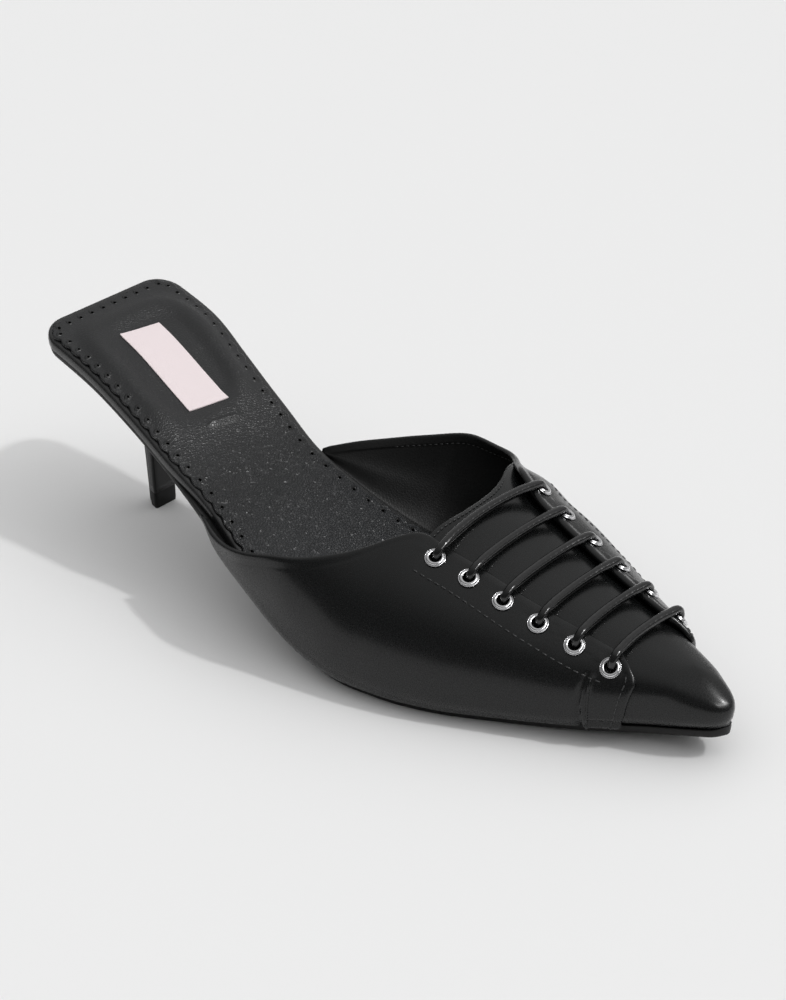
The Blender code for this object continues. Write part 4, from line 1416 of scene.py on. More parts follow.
@dataclass
class EyeletRow:
    """Where the eyelets sit, their rings and the lace bars between them."""

    last: Last
    finishes: Finishes
    rows: int = 6
    radius: float = 3.05 * MM
    lip: float = 2.72 * MM
    hole: float = 1.62 * MM
    height: float = 0.78 * MM
    standoff: float = 0.05 * MM
    margin: float = 5.0 * MM
    first_margin: float = 7.3 * MM
    last_margin: float = 7.2 * MM
    lace_radius: float = 1.42 * MM
    lace_end: float = 1.25 * MM
    lace_flat: float = 0.72
    sides: int = 48
    cord_sides: int = 20
    cord_steps: int = 90
    cord_sharp: float = math.radians(60)
    # End of a lace: how far inboard of the hole's middle and out of the leather, in mm
    dive: tuple = ((-0.15, -1.3), (0.0, -0.55), (0.3, 0.30), (1.1, 1.22))
    # Shares of the way across the vamp where a lace's height is set
    crests: tuple = (0.15, 0.32, 0.5, 0.68, 0.85)

    def station(self, row: int) -> float:
        """Station of one pair.

        Args:
            row: the pair, 0 at the throat.

        Returns:
            The station.
        """
        last = self.last
        first = last.throat * last.length + self.first_margin
        end = last.quarter_end * last.length - self.last_margin
        return first + (end - first) * row / (self.rows - 1)

    def seat(self, side: Side, row: int) -> tuple[Array, Array, Array]:
        """Centre of an eyelet, the way out of the leather and the way inboard.

        Args:
            side: the side of the foot.
            row: the pair.

        Returns:
            The point and both unit ways.
        """
        last = self.last
        s = self.station(row)
        edge, below = last.wall_point(side, np.array([s, s]), np.array([2.0, 1.8]))
        u = 2 - 0.2 * self.margin / np.linalg.norm(edge - below)
        spread = 0.2 * self.radius / np.linalg.norm(edge - below)
        at = np.array([s, s, s, s - self.radius, s + self.radius])
        us = np.array([u, u - spread, u + spread, u, u])
        points = last.wall_point(side, at, us)
        points = points + last.wall_normal(side, at, us) * last.quarter_raise(side, at)[:, None]
        inboard, along = points[2] - points[1], points[4] - points[3]
        out = np.cross(inboard, along)
        out = out / np.linalg.norm(out) * (1 if out[2] > 0 else -1)
        inboard = inboard - out * inboard.dot(out)
        return points[0], out, inboard / np.linalg.norm(inboard)

    def rings(self) -> None:
        """Plated rings with a rolled lip and a short barrel in the hole."""
        r, hole, h = self.radius, self.hole, self.height
        lip, round_off = (self.lip + hole) / 2, (self.lip - hole) / 2
        profile = [(r * 0.98, -0.15 * MM), (r, 0.05 * MM), (r * 0.985, 0.20 * MM), (r * 0.94, 0.24 * MM),
                   (self.lip + 0.12 * MM, 0.16 * MM), (self.lip + 0.02 * MM, 0.14 * MM)]
        profile += [(lip + round_off * math.cos(a), 0.3 * h + 0.7 * h * math.sin(a))
                    for a in np.radians(np.linspace(10, 170, 11))]
        profile += [(hole, 0.0), (hole, -1.1 * MM), (hole + 0.15 * MM, -1.1 * MM),
                    (hole + 0.25 * MM, -0.2 * MM)]
        metal = self.finishes.metal.build()
        for side in Side:
            for row in range(self.rows):
                centre, out, inboard = self.seat(side, row)
                along = np.cross(out, inboard)
                turns = np.linspace(0, 2 * math.pi, self.sides, endpoint=False)
                way = np.cos(turns)[:, None] * inboard + np.sin(turns)[:, None] * along
                rho = np.array([p[0] for p in profile])
                up = np.array([p[1] for p in profile]) + self.standoff
                points = centre + out * up[None, :, None] + way[:, None] * rho[None, :, None]
                count, width = points.shape[:2]
                corner = np.arange(count * width).reshape(count, width)
                ahead, aside = np.roll(corner, -1, axis=0), np.roll(corner, -1, axis=1)
                both = np.roll(ahead, -1, axis=1)
                faces = np.stack([corner, aside, both, ahead], axis=-1).reshape(-1, 4)
                name = f"{side.name.lower()}_{row + 1}"
                made = make_mesh(f"ring_{name}", points.reshape(-1, 3), faces)
                dress(made, "eyelet", [metal], f"eyelet_{name}")

    def lace_path(self, row: int) -> Array:
        """Middle of one lace bar, from inside one hole to inside the other.

        Args:
            row: the pair of eyelets.

        Returns:
            Points from the outer side to the inner.
        """
        s = self.station(row)
        over = self.standoff + self.height + self.lace_end * self.lace_flat
        ends = {}
        for side in Side:
            centre, out, inboard = self.seat(side, row)
            ends[side] = [centre + (inboard * a + out * b) * MM for a, b in self.dive]
            ends[side] += [centre + inboard * 2.3 * MM + out * (over + 0.02 * MM),
                           centre + inboard * 4.2 * MM + out * (over + 0.12 * MM)]
        ridge = self.last.wall_point(Side.INNER, np.array(s), np.array(3.0))
        top = ridge + np.array([0, 0, self.lace_radius + 0.30 * MM])
        start, finish = ends[Side.OUTER][-1], ends[Side.INNER][-1]
        middle = []
        for t in self.crests:
            straight = start + (finish - start) * t
            middle.append(straight + (top - (start + finish) / 2) * (1 - (2 * t - 1) ** 2))
        return np.array(ends[Side.OUTER] + middle + ends[Side.INNER][::-1])

    def laces(self) -> None:
        """Six bars of round cord that dive into the eyelets."""
        cord = self.finishes.cord.build()
        sides, steps = self.cord_sides, self.cord_steps
        for row in range(self.rows):
            path = smooth_path(self.lace_path(row), steps)
            near = np.minimum(np.linalg.norm(path - path[0], axis=1), np.linalg.norm(path - path[-1], axis=1))
            radii = self.lace_end + (self.lace_radius - self.lace_end) * smooth_step(near, 3 * MM, 8 * MM)
            flat = self.lace_flat + (1 - self.lace_flat) * smooth_step(near, 4 * MM, 10 * MM)
            verts, faces = tube(path, radii, sides, np.array([1.0, 0.0, 0.0]), flat)
            made = make_mesh(f"lace_{row + 1}", verts, faces)
            turn, along = np.meshgrid(np.arange(sides) / sides, run_along(path) / MM)
            add_map(made, "cord", np.stack([turn.ravel(), along.ravel()], axis=1))
            made.data.set_sharp_from_angle(angle=self.cord_sharp)
            dress(made, "lace", [cord], f"lace_bar_{row + 1}")


def smooth_path(points: Array, count: int) -> Array:
    """Evenly spaced points on a smooth curve through the given ones.

    Args:
        points: the given points.
        count: how many to return.

    Returns:
        The points.
    """
    fine = []
    padded = np.concatenate([[2 * points[0] - points[1]], points, [2 * points[-1] - points[-2]]])
    for i in range(1, len(padded) - 2):
        p0, p1, p2, p3 = padded[i - 1:i + 3]
        for t in np.linspace(0, 1, 24, endpoint=False):
            fine.append(0.5 * (2 * p1 + (p2 - p0) * t + (2 * p0 - 5 * p1 + 4 * p2 - p3) * t ** 2
                               + (3 * p1 - p0 - 3 * p2 + p3) * t ** 3))
    fine = np.array(fine + [points[-1]])
    run = run_along(fine)
    even = read_along(np.linspace(0, run[-1], count), run, fine)
    for _ in range(3):
        even[1:-1] = (even[:-2] + 2 * even[1:-1] + even[2:]) / 4
    return even


@dataclass
class Upper:
    """Vamp with the toe, the two quarters over it, and their sewing."""

    last: Last
    finishes: Finishes
    eyelets: EyeletRow
    band: float = 3.0 * MM
    rim_roll: dict = field(default_factory=lambda: {Side.OUTER: 0.10 * MM, Side.INNER: 0.24 * MM})
    thinned: float = 0.65 * MM
    thinned_run: float = 1.7 * MM
    hem: float = 0.20 * MM
    corner_rise: float = 1.7 * MM
    crown_station: float = 0.962
    crown_run: float = 10.5 * MM
    crown_rise: float = 1.5 * MM
    crown_way: tuple[float, float, float] = (0.35, 0.0, 0.94)
    pucker: float = 0.24 * MM
    pucker_wave: float = 3.1 * MM
    pucker_reach: float = 6.5 * MM
    seam_back: float = 8.5 * MM
    seam_slant: float = 3.0 * MM
    tab_length: float = 8.7 * MM
    seam_run: float = 12.0 * MM
    groove_behind: float = 1.5 * MM
    # Low forms of a quarter: height and half width
    seam_ridge: tuple[float, float] = (0.80 * MM, 0.7 * MM)
    seam_groove: tuple[float, float] = (-1.10 * MM, 0.6 * MM)
    tab_groove: tuple[float, float] = (-0.80 * MM, 0.7 * MM)
    tab_ridge: tuple[float, float] = (0.60 * MM, 1.3 * MM)
    ring_dent: tuple[float, float] = (-0.30 * MM, 5.0 * MM)
    lace_pull: tuple[float, float] = (0.28 * MM, 3.0 * MM)
    wrinkle: tuple[float, float] = (0.11 * MM, 1.1 * MM)
    wrinkle_ring: float = 4.5 * MM
    wrinkles: int = 5
    hole_pit: float = 1.6 * MM
    cording_radius: float = 0.42 * MM
    cording_sunk: float = 0.16 * MM
    cording_sides: int = 8
    throat_band: float = 0.28 * MM
    throat_roll: float = 0.45 * MM
    fine_row: Stitch = field(default_factory=lambda: Stitch(radius=0.16 * MM, sunk=0.09 * MM))
    lining_row: Stitch = field(default_factory=lambda: Stitch(1.2 * MM, 1.8 * MM, 0.15 * MM))
    throat_row: Stitch = field(default_factory=lambda: Stitch(1.15 * MM, 1.7 * MM, 0.17 * MM))
    row_below: dict = field(default_factory=lambda: {Side.OUTER: 6.9 * MM, Side.INNER: 10.0 * MM})
    stitch: Stitch = field(default_factory=Stitch)
    # Throat's edge: section place, and how far ahead of the throat's station it lies, in mm
    throat_line: dict = field(default_factory=lambda: {
        Side.OUTER: ((1.0, 0.0), (2.0, 0.9), (2.25, 1.0), (2.6, 1.75), (2.8, 1.9), (3.0, 1.75)),
        Side.INNER: ((1.0, 0.0), (1.5, -8.0), (1.8, -10.5), (2.0, -9.8), (2.1, -5.4), (2.25, -1.6),
                     (2.4, 0.2), (2.6, 1.25), (2.8, 1.6), (3.0, 1.75)),
    })

    def vamp(self) -> None:
        """Vamp, plug and toe as one sheet with real thickness, rounded at the throat."""
        last = self.last
        throat, pivot = last.throat * last.length, last.pivot * last.length
        wall = np.concatenate([np.linspace(0, 1, 12), np.linspace(1, 2, 26)[1:]])
        over = np.linspace(2, 3, 18)[1:]
        marks = np.concatenate([wall, over])
        s = np.concatenate([throat + np.array([0.0, 0.25, 0.6, 1.1, 1.8]) * MM,
                            np.arange(throat + 2.6 * MM, pivot - 0.3 * MM, 1.15 * MM), [pivot]])
        fade = 1 - smooth_step(s - throat, 2 * MM, 16 * MM)
        half = {}
        for side in Side:
            shift = np.interp(marks, *zip(*self.throat_line[side])) * MM
            at = s[:, None] + fade[:, None] * shift[None, :]
            half[side] = last.wall_point(side, at, marks[None, :])
            if side is Side.INNER:
                rise = self.corner_rise * swell(marks, 1.95, 0.22)[None, :] * fade[:, None] ** 2
                out = last.wall_normal(side, at, marks[None, :] + 0 * at)
                half[side] = half[side] + out * rise[..., None]
        rows = np.concatenate([half[Side.OUTER], half[Side.INNER][:, -2::-1]], axis=1)
        rows = self.plug_shape(rows, s, marks)
        angles = np.radians(np.linspace(-90, 90, 43)[1:-1])
        fan = np.array([last.toe_line(float(a), marks) for a in angles])
        count, width = rows.shape[:2]
        verts = [rows.reshape(-1, 3), fan[:, :-1].reshape(-1, 3)]
        faces = grid_faces(count, width)
        pole = (count - 1) * width + len(marks) - 1
        lines = [[(count - 1) * width + j for j in range(len(marks) - 1)]]
        start = count * width
        for k in range(len(angles)):
            lines.append([start + k * (len(marks) - 1) + j for j in range(len(marks) - 1)])
        lines.append([count * width - 1 - j for j in range(len(marks) - 1)])
        for left, right in zip(lines, lines[1:]):
            faces += [(left[j], left[j + 1], right[j + 1], right[j]) for j in range(len(marks) - 2)]
            faces.append((left[-1], pole, right[-1]))
        points = np.concatenate(verts)
        points = relaxed(points, faces, 10, np.ones(len(points)))
        toe = smooth_step(points[:, 0], last.place(pivot, 0, 0)[0] - 9 * MM, last.place(pivot, 0, 0)[0])
        points = relaxed(points, faces, 4, toe)
        crown = last.place(self.crown_station * last.length, 0, 0)[0]
        above = points[:, 2] - last.sole_top(points[:, 0] + last.length / 2)
        full = swell(points[:, 0], crown, self.crown_run) * smooth_step(above, 3 * MM, 13 * MM)
        points = points + np.array(self.crown_way) * (self.crown_rise * full)[:, None]
        made = thick_sheet("vamp", points, faces, last.wall)
        dress(made, "upper_leather", [self.finishes.upper.build(), self.finishes.lining.build()], "upper")

    def plug_shape(self, rows: Array, s: Array, marks: Array) -> Array:
        """Roll the throat's edge and let the stitched band stand a little proud.

        Args:
            rows: the vamp's rows of points.
            s: their stations.
            marks: places on the half section, 0 to 3.

        Returns:
            The rows, moved.
        """
        last = self.last
        throat = last.throat * last.length
        behind = (s - throat)[:, None]
        normal = grid_normals(rows)
        normal *= np.where(normal[..., 2:] < 0, -1, 1)
        band = self.throat_band * (1 - smooth_step(behind, 2.3 * MM, 3.4 * MM))
        roll = -self.throat_roll * (1 - smooth_step(behind, 0.0, 1.1 * MM)) ** 2
        on_plug = np.concatenate([marks, marks[-2::-1]]) > 1.95
        corner = rows[0, len(rows[0]) - 1 - int(np.argmax(marks > 2.1))]
        away = np.linalg.norm(rows - corner, axis=-1)
        pucker = self.pucker * np.sin(away * 2 * math.pi / self.pucker_wave)
        pucker *= swell(away, 0.0, self.pucker_reach) * smooth_step(behind, 2.5 * MM, 4 * MM)
        return rows + normal * ((band + roll + pucker) * on_plug[None, :])[..., None]

    def quarter_sheet(self, side: Side) -> tuple[Array, Array, Array]:
        """Grid of one quarter's outer face, with its stations and section places.

        Args:
            side: the side of the foot.

        Returns:
            Points, stations and section places, each rows by columns.
        """
        last = self.last
        back, end = last.back_end * last.length, last.quarter_end * last.length
        rear = np.arange(back, last.throat * last.length - 6 * MM, 1.3 * MM)
        front = np.linspace(last.throat * last.length - 6 * MM, end, 112)
        s = np.concatenate([rear, front])[:, None]
        u = [np.linspace(0, 1, 14), np.linspace(1, 1.55, 20)[1:], np.linspace(1.55, 2, 34)[1:]]
        u = np.concatenate(u)[None, :]
        s, u = np.broadcast_arrays(s, u)
        weight = np.clip(1 - (end - s) / (24 * MM), 0, 1)
        s = s - last.front_setback(u) * weight
        stand = last.quarter_raise(side, s)
        stand = last.quarter_step + (stand - last.quarter_step) * smooth_step(u, 0.8, 1.6)
        stand = stand * (0.35 + 0.65 * smooth_step(s - back, 0.0, 10 * MM))
        points = last.wall_point(side, s, u) + last.wall_normal(side, s, u) * stand[..., None]
        return points, s, u

    def quarter_relief(self, side: Side, points: Array) -> Array:
        """Low forms on a quarter: rolled edge, pull of the laces, pits of the holes and creases.

        Args:
            side: the side of the foot.
            points: the quarter's outer face.

        Returns:
            How far each point moves out.
        """
        to_edge = edge_distance(points, SheetEdge.TOP)
        to_front = edge_distance(points, SheetEdge.FRONT)
        near = np.minimum(to_edge, to_front)
        roll = self.rim_roll[side]
        move = roll * swell(near, 0.9 * MM, 0.8 * MM) - 0.5 * roll * swell(near, self.band, 0.5 * MM)
        down = smooth_step(to_edge, 10 * MM, 12.5 * MM)
        from_foot = np.cumsum(np.linalg.norm(np.diff(points, axis=1, prepend=points[:, :1]), axis=-1), axis=1)
        seam = self.seam_back + self.seam_slant * np.clip(from_foot / self.seam_run, 0, 1)
        tab = smooth_step(seam - to_front, 0.0, 1 * MM)
        for share, where, at, (height, width) in (
                (down, to_front, seam, self.seam_ridge),
                (down, to_front, seam + self.groove_behind, self.seam_groove),
                (tab, from_foot, 5.6 * MM, self.tab_groove), (tab, from_foot, 3.6 * MM, self.tab_ridge)):
            move += height * share * swell(where, at, width)
        rings = self.eyelets
        for row in range(rings.rows):
            centre, out, inboard = rings.seat(side, row)
            away = np.linalg.norm(points - centre, axis=-1)
            pulled = np.linalg.norm(points - centre - inboard * rings.margin, axis=-1)
            around = np.arctan2((points - centre) @ inboard, (points - centre) @ np.cross(out, inboard))
            move += self.ring_dent[0] * swell(away, 0.0, self.ring_dent[1])
            move += self.lace_pull[0] * swell(pulled, 0.0, self.lace_pull[1])
            folds = np.cos(self.wrinkles * around + row) * swell(away, self.wrinkle_ring, self.wrinkle[1])
            move += self.wrinkle[0] * folds * (around > 0)
            move -= self.hole_pit * (1 - smooth_step(away, rings.hole + 0.2 * MM, rings.hole + 0.9 * MM))
        return move

    def quarter(self, side: Side) -> None:
        """One quarter with a rolled edge, its lining inside, and its stitch rows.

        Args:
            side: the side of the foot.
        """
        last = self.last
        points, s, u = self.quarter_sheet(side)
        normal = last.wall_normal(side, s, u)
        if side is Side.OUTER:
            thin = swell(edge_distance(points, SheetEdge.TOP), 0.0, self.thinned_run)
            laced = smooth_step(s, (last.throat - 0.01) * last.length, (last.throat + 0.02) * last.length)
            points = points - normal * (self.thinned * thin * laced)[..., None]
        relief = self.quarter_relief(side, points)
        top = points + normal * relief[..., None]
        ahead = smooth_step(s, (last.throat - 0.03) * last.length, (last.throat + 0.005) * last.length)
        thickness = last.quarter_wall - (last.quarter_wall - last.quarter_step + 0.05 * MM) * ahead
        thickness = thickness * (0.45 + 0.55 * smooth_step(s - last.back_end * last.length, 0.0, 10 * MM))
        hem = edge_distance(points, SheetEdge.TOP)
        thickness = thickness + self.hem * (1 - smooth_step(hem, 2.2 * MM, 2.7 * MM)) * (1 - ahead)
        low = points - normal * thickness[..., None]
        low[:, 0] = points[:, 0] - level(normal[:, 0]) * last.quarter_wall
        floor = last.sole_top(s) + last.gap
        low[..., 2] = np.maximum(low[..., 2], floor)
        top[..., 2] = np.maximum(top[..., 2], floor)
        verts, faces, lining = rounded_shell(top, low)
        made = make_mesh(f"quarter_{side.name.lower()}", verts, faces)
        made.data.polygons.foreach_set("material_index", lining)
        dress(made, "upper_leather", [self.finishes.upper.build(), self.finishes.lining.build()], "upper")
        self.sewing(side, points, top, low, normal)

    def sewing(self, side: Side, base: Array, top: Array, low: Array, normal: Array) -> None:
        """Stitch rows and seam lines of one quarter.

        Args:
            side: the side of the foot.
            base: outer face before its low forms, which distances are taken on.
            top: outer face.
            low: inner face.
            normal: outward directions.
        """
        last = self.last
        distance = edge_distance(base, SheetEdge.TOP)
        front = edge_distance(base, SheetEdge.FRONT)
        throat_row = int(np.argmax(top[:, -1, 0] > last.place(last.throat * last.length, 0, 0)[0]))
        rows, drop = range(len(top)), self.eyelets.margin + self.row_below[side]
        below = self.across(*map(turned, (top, normal, distance)), rows, lambda i: drop)
        ahead = int(np.argmax([front[i, -1] < 5 * MM for i in range(len(front))]))
        low_row = self.stitch if side is Side.OUTER else self.fine_row
        parts = [low_row.row(below[0][throat_row + 5:ahead], below[1][throat_row + 5:ahead])]
        columns = range(4, base.shape[1] - 14)
        parts.append(self.stitch.row(*self.across(top, normal, front, columns, lambda j: 2.2 * MM)))
        hem = edge_distance(low, SheetEdge.TOP)
        inside = self.across(*map(turned, (low, -normal, hem)), rows, lambda i: 2.6 * MM)
        parts.append(self.lining_row.row(inside[0][14:throat_row + 4], inside[1][14:throat_row + 4]))
        verts, faces = joined(parts)
        made = make_mesh(f"stitches_{side.name.lower()}", verts, faces)
        dress(made, "upper_leather", [self.finishes.thread.build()])
        foot = int(np.argmax(distance[ahead] < drop))
        seam = self.across(top, normal, front, range(1, foot + 1),
                           lambda j: self.seam_back + self.seam_slant * j / foot)
        middle = max(3, foot // 3)
        keep = front[:, middle] < self.tab_length
        tab = (top[keep, middle], normal[keep, middle])
        verts, faces = joined([self.cording(*seam), self.cording(*tab)])
        made = make_mesh(f"seams_{side.name.lower()}", verts, faces)
        dress(made, "upper_leather", [self.finishes.upper.build()])

    @staticmethod
    def across(top: Array, normal: Array, front: Array, columns: Sequence[int], wanted: Callable) -> tuple:
        """Points and directions at a given distance from an edge, one for each column.

        Args:
            top: the quarter's outer face.
            normal: its outward directions.
            front: distance of each point from the edge.
            columns: the columns to read.
            wanted: distance for a column.

        Returns:
            Points and directions.
        """
        found, ways = [], []
        for j in columns:
            order = np.argsort(front[:, j])
            found.append(read_along(wanted(j), front[order, j], top[order, j]))
            ways.append(read_along(wanted(j), front[order, j], normal[order, j]))
        return np.array(found), np.array(ways)

    def cording(self, path: Array, ways: Array) -> tuple[Array, list[tuple]]:
        """Low ridge of leather over a seam.

        Args:
            path: points along the seam.
            ways: outward directions there.

        Returns:
            Points and faces.
        """
        steps = np.linspace(0, 1, len(path))
        radii = self.cording_radius * np.sqrt(np.maximum(1 - (2 * steps - 1) ** 8, 0.05))
        return tube(path - ways * self.cording_sunk, radii, self.cording_sides, ways[len(ways) // 2])

    def throat_stitches(self) -> None:
        """Fine stitches along the band at the throat's edge."""
        last = self.last
        at = last.throat * last.length + 1.5 * MM
        halves = []
        for side in (Side.OUTER, Side.INNER):
            u = np.linspace(2.02, 3, 40)
            s = at + np.interp(u, *zip(*self.throat_line[side])) * MM
            line, ways = last.wall_point(side, s, u), last.wall_normal(side, s, u)
            halves.append((line, ways) if side is Side.OUTER else (line[-2::-1], ways[-2::-1]))
        path = np.concatenate([h[0] for h in halves])
        ways = np.concatenate([h[1] for h in halves])
        ways[..., 2] = np.abs(ways[..., 2])
        verts, faces = self.throat_row.row(path + ways * self.throat_band, ways)
        dress(make_mesh("stitches_throat", verts, faces), "upper_leather", [self.finishes.thread.build()])


def edge_distance(points: Array, edge: SheetEdge) -> Array:
    """Distance over the surface from each point of a grid to one of its edges.

    Args:
        points: the grid.
        edge: which edge.

    Returns:
        Distances, rows by columns.
    """
    if edge is SheetEdge.TOP:
        steps = np.linalg.norm(np.diff(points[:, ::-1], axis=1), axis=-1)
        return np.concatenate([np.zeros((len(points), 1)), np.cumsum(steps, axis=1)], axis=1)[:, ::-1]
    steps = np.linalg.norm(np.diff(points[::-1], axis=0), axis=-1)
    return np.concatenate([np.zeros((1, points.shape[1])), np.cumsum(steps, axis=0)], axis=0)[::-1]


def turned(grid: Array) -> Array:
    """A grid with its rows and columns exchanged."""
    return np.swapaxes(grid, 0, 1)


def level(directions: Array) -> Array:
    """Directions laid flat."""
    return unit(directions * np.array([1, 1, 0]))


def rounded_shell(top: Array, low: Array, rolls: int = 3,
                  roundness: float = 0.42) -> tuple[Array, list[tuple], list[int]]:
    """Closed sheet between two grids, with half-round or straight edges.

    Args:
        top: outer points.
        low: inner points.
        rolls: rows of points on the rounded edge, 0 for a straight one.
        roundness: how far that edge stands out, as a share of the thickness.

    Returns:
        Points, faces, and a material index for each face: 1 on the inner side.
    """
    rows, columns = top.shape[:2]
    count = rows * columns
    rim = border_cells(rows, columns)
    inner_of = {(i, j): (min(max(i, 1), rows - 2), min(max(j, 1), columns - 2)) for i, j in rim}
    faces = grid_faces(rows, columns)
    faces += [tuple(i + count for i in face[::-1]) for face in grid_faces(rows, columns)]
    lining = [0] * (len(faces) // 2) + [1] * (len(faces) // 2)
    verts = [top.reshape(-1, 3), low.reshape(-1, 3)]
    rings = [[i * columns + j for i, j in rim]]
    start = 2 * count
    outward = unit(np.array([top[a] - top[inner_of[a]] for a in rim]))
    tops, lows = np.array([top[a] for a in rim]), np.array([low[a] for a in rim])
    depth = np.linalg.norm(tops - lows, axis=1)[:, None]
    bottom = np.array([j == 0 for _, j in rim])[:, None]
    for k in range(1, rolls + 1):
        angle = math.pi * k / (rolls + 1)
        ring = tops + (lows - tops) * (1 - math.cos(angle)) / 2
        ring = ring + outward * depth * roundness * math.sin(angle) * np.where(bottom, 0.0, 1.0)
        verts.append(ring)
        rings.append([start + (k - 1) * len(rim) + m for m in range(len(rim))])
    rings.append([count + i * columns + j for i, j in rim])
    for a, b in zip(rings, rings[1:]):
        for m in range(len(rim)):
            n = (m + 1) % len(rim)
            faces.append((a[m], a[n], b[n], b[m]))
            lining.append(0)
    return np.concatenate(verts), faces, lining


def relaxed(points: Array, faces: Sequence[tuple], rounds: int, weight: Array) -> Array:
    """Points of an open sheet, drawn to their neighbours by a weight each, with the border kept.

    Args:
        points: the sheet's points.
        faces: its faces.
        rounds: how often.
        weight: pull on each point, 0 to 1.

    Returns:
        The points, moved.
    """
    pairs = np.array([(f[i], f[(i + 1) % len(f)]) for f in faces for i in range(len(f))])
    ordered = np.sort(pairs, axis=1)
    keys, counts = np.unique(ordered, axis=0, return_counts=True)
    border = np.zeros(len(points), dtype=bool)
    border[keys[counts == 1].ravel()] = True
    degree = np.zeros(len(points))
    np.add.at(degree, keys[:, 0], 1)
    np.add.at(degree, keys[:, 1], 1)
    moved = points.copy()
    for _ in range(rounds):
        total = np.zeros_like(moved)
        np.add.at(total, keys[:, 0], moved[keys[:, 1]])
        np.add.at(total, keys[:, 1], moved[keys[:, 0]])
        mean = total / degree[:, None]
        moved = np.where(border[:, None], points, moved + 0.5 * weight[:, None] * (mean - moved))
    return moved


def thick_sheet(name: str, points: Array, faces: list[tuple], wall: float) -> bpy.types.Object:
    """Open sheet made solid by its wall, on its inner side, with a straight border between its two faces.

    Args:
        name: the object's name.
        points: the outer face.
        faces: its faces.
        wall: the thickness.

    Returns:
        The object: material 0 outside and on the border, 1 inside.
    """
    mesh = bpy.data.meshes.new("sheet")
    mesh.from_pydata(points.tolist(), [], faces)
    work = bmesh.new()
    work.from_mesh(mesh)
    bmesh.ops.recalc_face_normals(work, faces=work.faces)
    work.normal_update()
    work.verts.ensure_lookup_table()
    normals = np.array([tuple(v.normal) for v in work.verts])
    outer = [tuple(v.index for v in face.verts) for face in work.faces]
    rim = [(loop.vert.index, loop.link_loop_next.vert.index)
           for face in work.faces for loop in face.loops if len(loop.edge.link_faces) == 1]
    work.free()
    bpy.data.meshes.remove(mesh)
    if normals[int(np.argmax(points[:, 2]))][2] < 0:
        outer = [face[::-1] for face in outer]
        normals = -normals
        rim = [(b, a) for a, b in rim]
    count = len(points)
    low = points - normals * wall
    border = np.zeros(count, dtype=bool)
    border[np.array(rim).ravel()] = True
    down = border & (normals[:, 2] < 0.3)
    low[down] = points[down] - level(normals[down]) * wall
    all_faces = outer + [tuple(i + count for i in face[::-1]) for face in outer]
    index = [0] * len(outer) + [1] * len(outer)
    for a, b in rim:
        all_faces.append((b, a, count + a, count + b))
        index.append(0)
    made = make_mesh(name, np.concatenate([points, low]), all_faces)
    made.data.polygons.foreach_set("material_index", index)
    return made


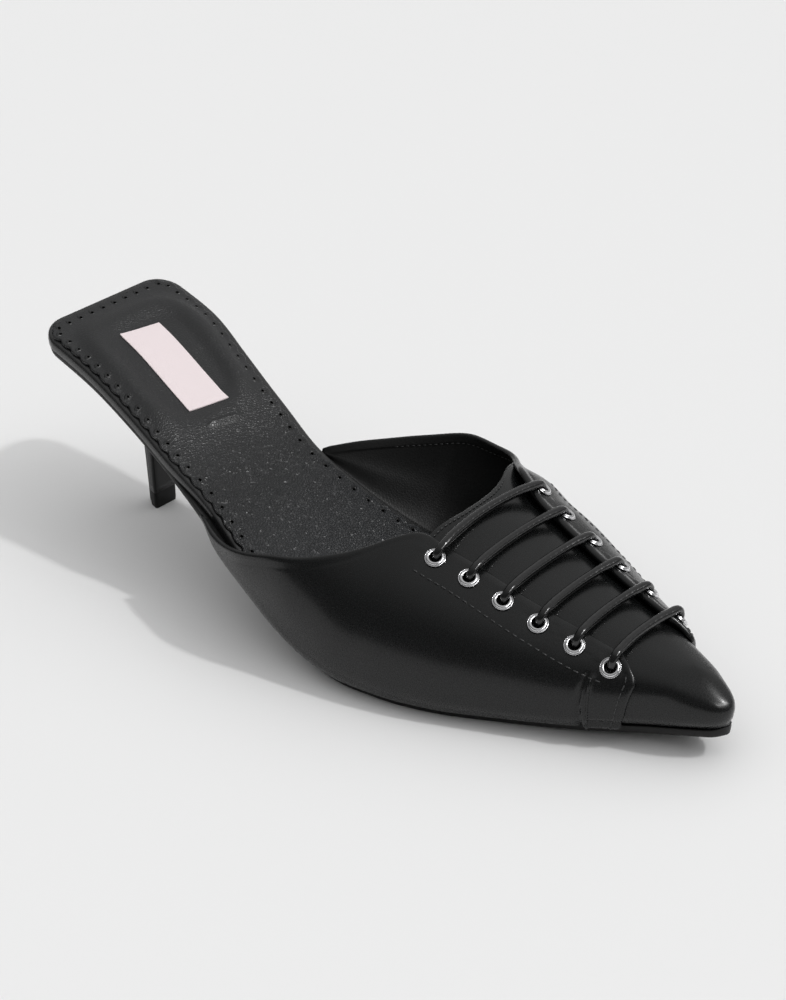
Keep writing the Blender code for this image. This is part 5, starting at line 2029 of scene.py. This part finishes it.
@dataclass
class Studio:
    """Pale floor, soft light and the camera at the photograph's angle."""

    azimuth: float = math.radians(39.56)
    elevation: float = math.radians(27.68)
    roll: float = math.radians(-0.556)
    offset: tuple[float, float, float] = (113.264 * MM, 23.896 * MM, 767.41 * MM)
    origin: tuple[float, float, float] = (107.35 * MM, -0.85 * MM, 0.0)
    focal: float = 1681.3
    frame_width: float = 786.0
    frame_height: float = 1000.0
    sensor: float = 36.0
    aim: tuple[float, float] = (322.0, 553.0)
    closer: float = 1.36
    key_way: tuple[float, float, float] = (1.15, 0.55, 1.55)
    key_power: float = 0.86
    fill_power: float = 1.13
    strip_place: tuple[float, float, float] = (1.30, 0.15, 1.25)
    strip_size: tuple[float, float] = (0.26, 1.7)
    strip_power: float = 16.0
    key_angle: float = math.radians(3)
    sky_way: tuple[float, float, float] = (0.0, 0.42, 0.907)
    sky_range: tuple[float, float] = (0.13, 0.57)
    glow: float = 1.8
    fill_angle: float = math.radians(120)
    floor_half: float = 6.0
    floor_tone: float = 0.80
    floor_rough: tuple[float, float] = (0.72, 0.78)

    def axes(self) -> Array:
        """Right, up and back of the photograph's camera.

        Returns:
            The three unit ways, one a row.
        """
        a, e, r = self.azimuth, self.elevation, self.roll
        ahead = np.array([-math.sin(a) * math.cos(e), math.cos(a) * math.cos(e), -math.sin(e)])
        right = np.array([math.cos(a), math.sin(a), 0.0])
        up = np.cross(right, ahead)
        c, s = math.cos(r), math.sin(r)
        return np.array([c * right + s * up, -s * right + c * up, -ahead])

    def camera(self) -> None:
        """Camera where the photograph's stood, turned to the one shoe and framed on it."""
        axes = self.axes()
        eye = axes.T @ np.array(self.offset) - np.array(self.origin)
        dx = (self.aim[0] - self.frame_width / 2) / self.focal
        dy = (self.frame_height / 2 - self.aim[1]) / self.focal
        ahead = unit(axes.T @ np.array([dx, dy, -1.0]))
        data = bpy.data.cameras.new("camera")
        data.sensor_fit = "HORIZONTAL"
        data.sensor_width = self.sensor
        data.lens = self.focal * self.closer * self.sensor / self.frame_width
        data.clip_start, data.clip_end = 0.05, 20.0
        made = bpy.data.objects.new("camera", data)
        bpy.context.scene.collection.objects.link(made)
        self.face(made, eye, ahead, axes[1])
        bpy.context.scene.camera = made

    @staticmethod
    def face(made: bpy.types.Object, place: Array, ahead: Array, up: Array) -> None:
        """Stand a camera or a light at a place.

        Args:
            made: the object.
            place: where it stands.
            ahead: the unit way it faces.
            up: the way its top points to.
        """
        right = unit(np.cross(ahead, up))
        turn = Matrix([right, np.cross(right, ahead), -ahead]).transposed().to_4x4()
        made.matrix_world = Matrix.Translation(Vector(place)) @ turn

    @staticmethod
    def lamp(name: str, kind: str, **settings: object) -> bpy.types.Object:
        """Add one light.

        Args:
            name: its name.
            kind: SUN or AREA.
            **settings: its properties.

        Returns:
            The light's object.
        """
        data = bpy.data.lights.new(name, kind)
        for key, value in settings.items():
            setattr(data, key, value)
        made = bpy.data.objects.new(name, data)
        bpy.context.scene.collection.objects.link(made)
        return made

    def floor(self) -> None:
        """Plain pale floor, wide enough that its end is out of view."""
        half = self.floor_half
        verts = np.array([(-half, -half, 0.0), (half, -half, 0.0), (half, half, 0.0), (-half, half, 0.0)])
        made = make_mesh("floor", verts, [(0, 1, 2, 3)])
        paint, graph, shader, place = blank("pale_floor")
        cloud = graph.noise(place, 3.0)
        graph.join(shader, {"Roughness": graph.ramp(cloud, 0.0, 1.0, *self.floor_rough),
                            "Base Color": (*[self.floor_tone] * 3, 1), "Specular IOR Level": 0.1})
        made.data.materials.append(paint)

    def light(self) -> None:
        """Key from the right with a soft edge, and a surrounding that is brighter overhead."""
        key = self.lamp("key", "SUN", energy=self.key_power, angle=self.key_angle)
        key.rotation_euler = (-Vector(self.key_way)).to_track_quat("-Z", "Y").to_euler()
        fill = self.lamp("fill", "SUN", energy=self.fill_power, angle=self.fill_angle)
        fill.visible_glossy = False
        strip = self.lamp("strip", "AREA", shape="RECTANGLE", size=self.strip_size[0],
                          size_y=self.strip_size[1], energy=self.strip_power)
        strip.visible_diffuse = False
        place = np.array(self.strip_place)
        self.face(strip, place, unit(-place), np.array([0.0, 1.0, 0.0]))
        world = bpy.data.worlds.new("surrounding")
        world.use_nodes = True
        graph = Graph(world.node_tree)
        sky = graph.add("TexCoord").outputs["Generated"]
        background = world.node_tree.nodes["Background"]
        background.inputs["Color"].default_value = (1.0, 1.0, 1.0, 1)
        ways = (self.sky_way, tuple(Vector(self.key_way).normalized()))
        height, toward = (graph.add("VectorMath", {0: sky, 1: way}, operation="DOT_PRODUCT").outputs["Value"]
                          for way in ways)
        glow = graph.ramp(toward, 0.95, 1.0, 0.0, self.glow)
        light = graph.math("ADD", graph.ramp(height, 0.0, 0.95, *self.sky_range), glow)
        world.node_tree.links.new(light, background.inputs["Strength"])
        bpy.context.scene.world = world
        bpy.context.scene.view_settings.view_transform = "Standard"


def main() -> None:
    """Load the frame and build each sub-assembly in order."""
    logging.basicConfig(level=logging.INFO, format="%(message)s")
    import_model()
    last, finishes = Last(), Finishes()
    studio = Studio()
    studio.camera()
    studio.floor()
    studio.light()
    LOG.info("studio set")
    bottom = Bottom(last, finishes)
    bottom.outsole()
    bottom.heel()
    LOG.info("outsole, heel and heel tip made")
    footbed = Footbed(last, finishes)
    footbed.insole()
    footbed.sock()
    footbed.label()
    LOG.info("insole, sock and label made")
    eyelets = EyeletRow(last, finishes)
    upper = Upper(last, finishes, eyelets)
    upper.vamp()
    for side in Side:
        upper.quarter(side)
    upper.throat_stitches()
    LOG.info("vamp, quarters and sewing made")
    eyelets.rings()
    eyelets.laces()
    LOG.info("eyelets and laces made")


if __name__ == "__main__":
    main()
